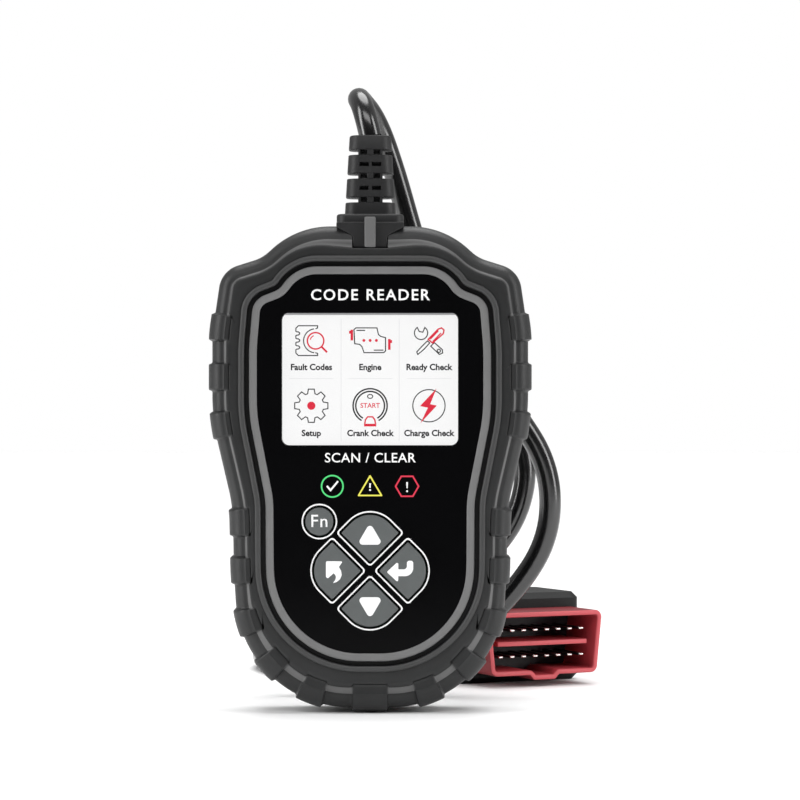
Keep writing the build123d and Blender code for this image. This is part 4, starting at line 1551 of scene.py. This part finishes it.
def studio_world():
    """White to the camera; to the reader, bright behind and overhead and dark in front."""
    world = bpy.data.worlds.new("studio")
    world.use_nodes = True
    tree = world.node_tree
    back = tree.nodes["Background"]
    back.inputs["Color"].default_value = (1, 1, 1, 1)
    place = tree.nodes.new("ShaderNodeTexCoord")
    split = tree.nodes.new("ShaderNodeSeparateXYZ")
    tree.links.new(place.outputs["Generated"], split.inputs["Vector"])
    strength = map_range(tree, split.outputs["Y"], -0.9, 0.3, FRONT_GLOW, BACK_GLOW)
    path = tree.nodes.new("ShaderNodeLightPath")
    mix = tree.nodes.new("ShaderNodeMix")
    mix.inputs["B"].default_value = 1.0
    tree.links.new(path.outputs["Is Camera Ray"], mix.inputs["Factor"])
    tree.links.new(strength, mix.inputs["A"])
    tree.links.new(mix.outputs["Result"], back.inputs["Strength"])
    return world


def build_stage():
    scene = bpy.context.scene
    scene.view_settings.view_transform = "Standard"
    r = FLOOR_REACH
    corners = [(-r, FLOOR_FRONT, 0), (r, FLOOR_FRONT, 0), (r, r, 0), (-r, r, 0)]
    floor_material()
    floor = add_mesh("floor", corners, [(0, 1, 2, 3)], "floor_white", smooth=False)
    scene.world = studio_world()
    sky = bpy.data.lights.new("overhead", "SUN")
    sky.energy = SKY_POWER
    sky.angle = math.radians(SKY_SPREAD)
    lamp = new_object("overhead", sky)
    lamp.rotation_euler = Vector((0.05, 0.22, 1.0)).to_track_quat("Z", "Y").to_euler()
    area_light("left_box", (-0.75, -0.30, 0.30), 5.0, 0.25, 0.9)
    area_light("right_box", (0.75, -0.30, 0.30), 4.0, 0.25, 0.9)
    area_light("front_high", (0.0, -0.85, 0.85), 4.0, 1.0, 0.35)


# ======== operators ========
def piece_operator(idname, label, doc, work):
    """An operator that makes one piece or group of like pieces."""

    def execute(self, context):
        work()
        return {"FINISHED"}

    return type(
        "READER_OT_" + idname,
        (bpy.types.Operator,),
        {"bl_idname": "reader." + idname, "bl_label": label, "__doc__": doc, "execute": execute},
    )


STEPS = [
    piece_operator("materials", "Finishes", "Make the finishes", make_materials),
    piece_operator("camera", "Camera", "Place the camera", build_camera),
    piece_operator("shroud", "Plug shroud", "Form the plug's red shroud and its divider", build_shroud),
    piece_operator("pins", "Plug pins", "Set both rows of pins", build_pins),
    piece_operator("cord", "Lead", "Lay the lead along its route", build_cord),
    piece_operator("relief", "Strain relief", "Form the neck and its slit sleeve", build_relief),
    piece_operator("frame_parts", "Frame parts", "Dress the frame's own parts", dress_frame_parts),
    piece_operator("boot", "Boot", "Sweep the ribbed rubber boot", build_boot),
    piece_operator("trim", "Trim", "Sweep the ring round the face panel", build_trim),
    piece_operator("keys", "Keys", "Mould the keys and print their symbols", build_keys),
    piece_operator("panel_print", "Panel print", "Print the face's rings and words", build_panel_print),
    piece_operator("screen", "Screen", "Draw the lit screen", build_screen),
    piece_operator("stage", "Stage", "Set the floor, lights and surroundings", build_stage),
]


class READER_PT_panel(bpy.types.Panel):
    """Lists the steps in the 3D view's sidebar."""

    bl_label = "Code reader"
    bl_idname = "READER_PT_panel"
    bl_space_type = "VIEW_3D"
    bl_region_type = "UI"
    bl_category = "Code reader"

    def draw(self, context):
        for step in STEPS:
            self.layout.operator(step.bl_idname)


CLASSES = [ReaderSizes, ReaderColours, *STEPS, READER_PT_panel]


def register():
    for item in CLASSES:
        bpy.utils.register_class(item)
    bpy.types.Scene.reader_sizes = PointerProperty(type=ReaderSizes)
    bpy.types.Scene.reader_colours = PointerProperty(type=ReaderColours)


def unregister():
    del bpy.types.Scene.reader_colours
    del bpy.types.Scene.reader_sizes
    for item in reversed(CLASSES):
        bpy.utils.unregister_class(item)


def main():
    register()
    for step in STEPS:
        group, name = step.bl_idname.split(".")
        getattr(getattr(bpy.ops, group), name)()


if __name__ == "__main__":
    main()
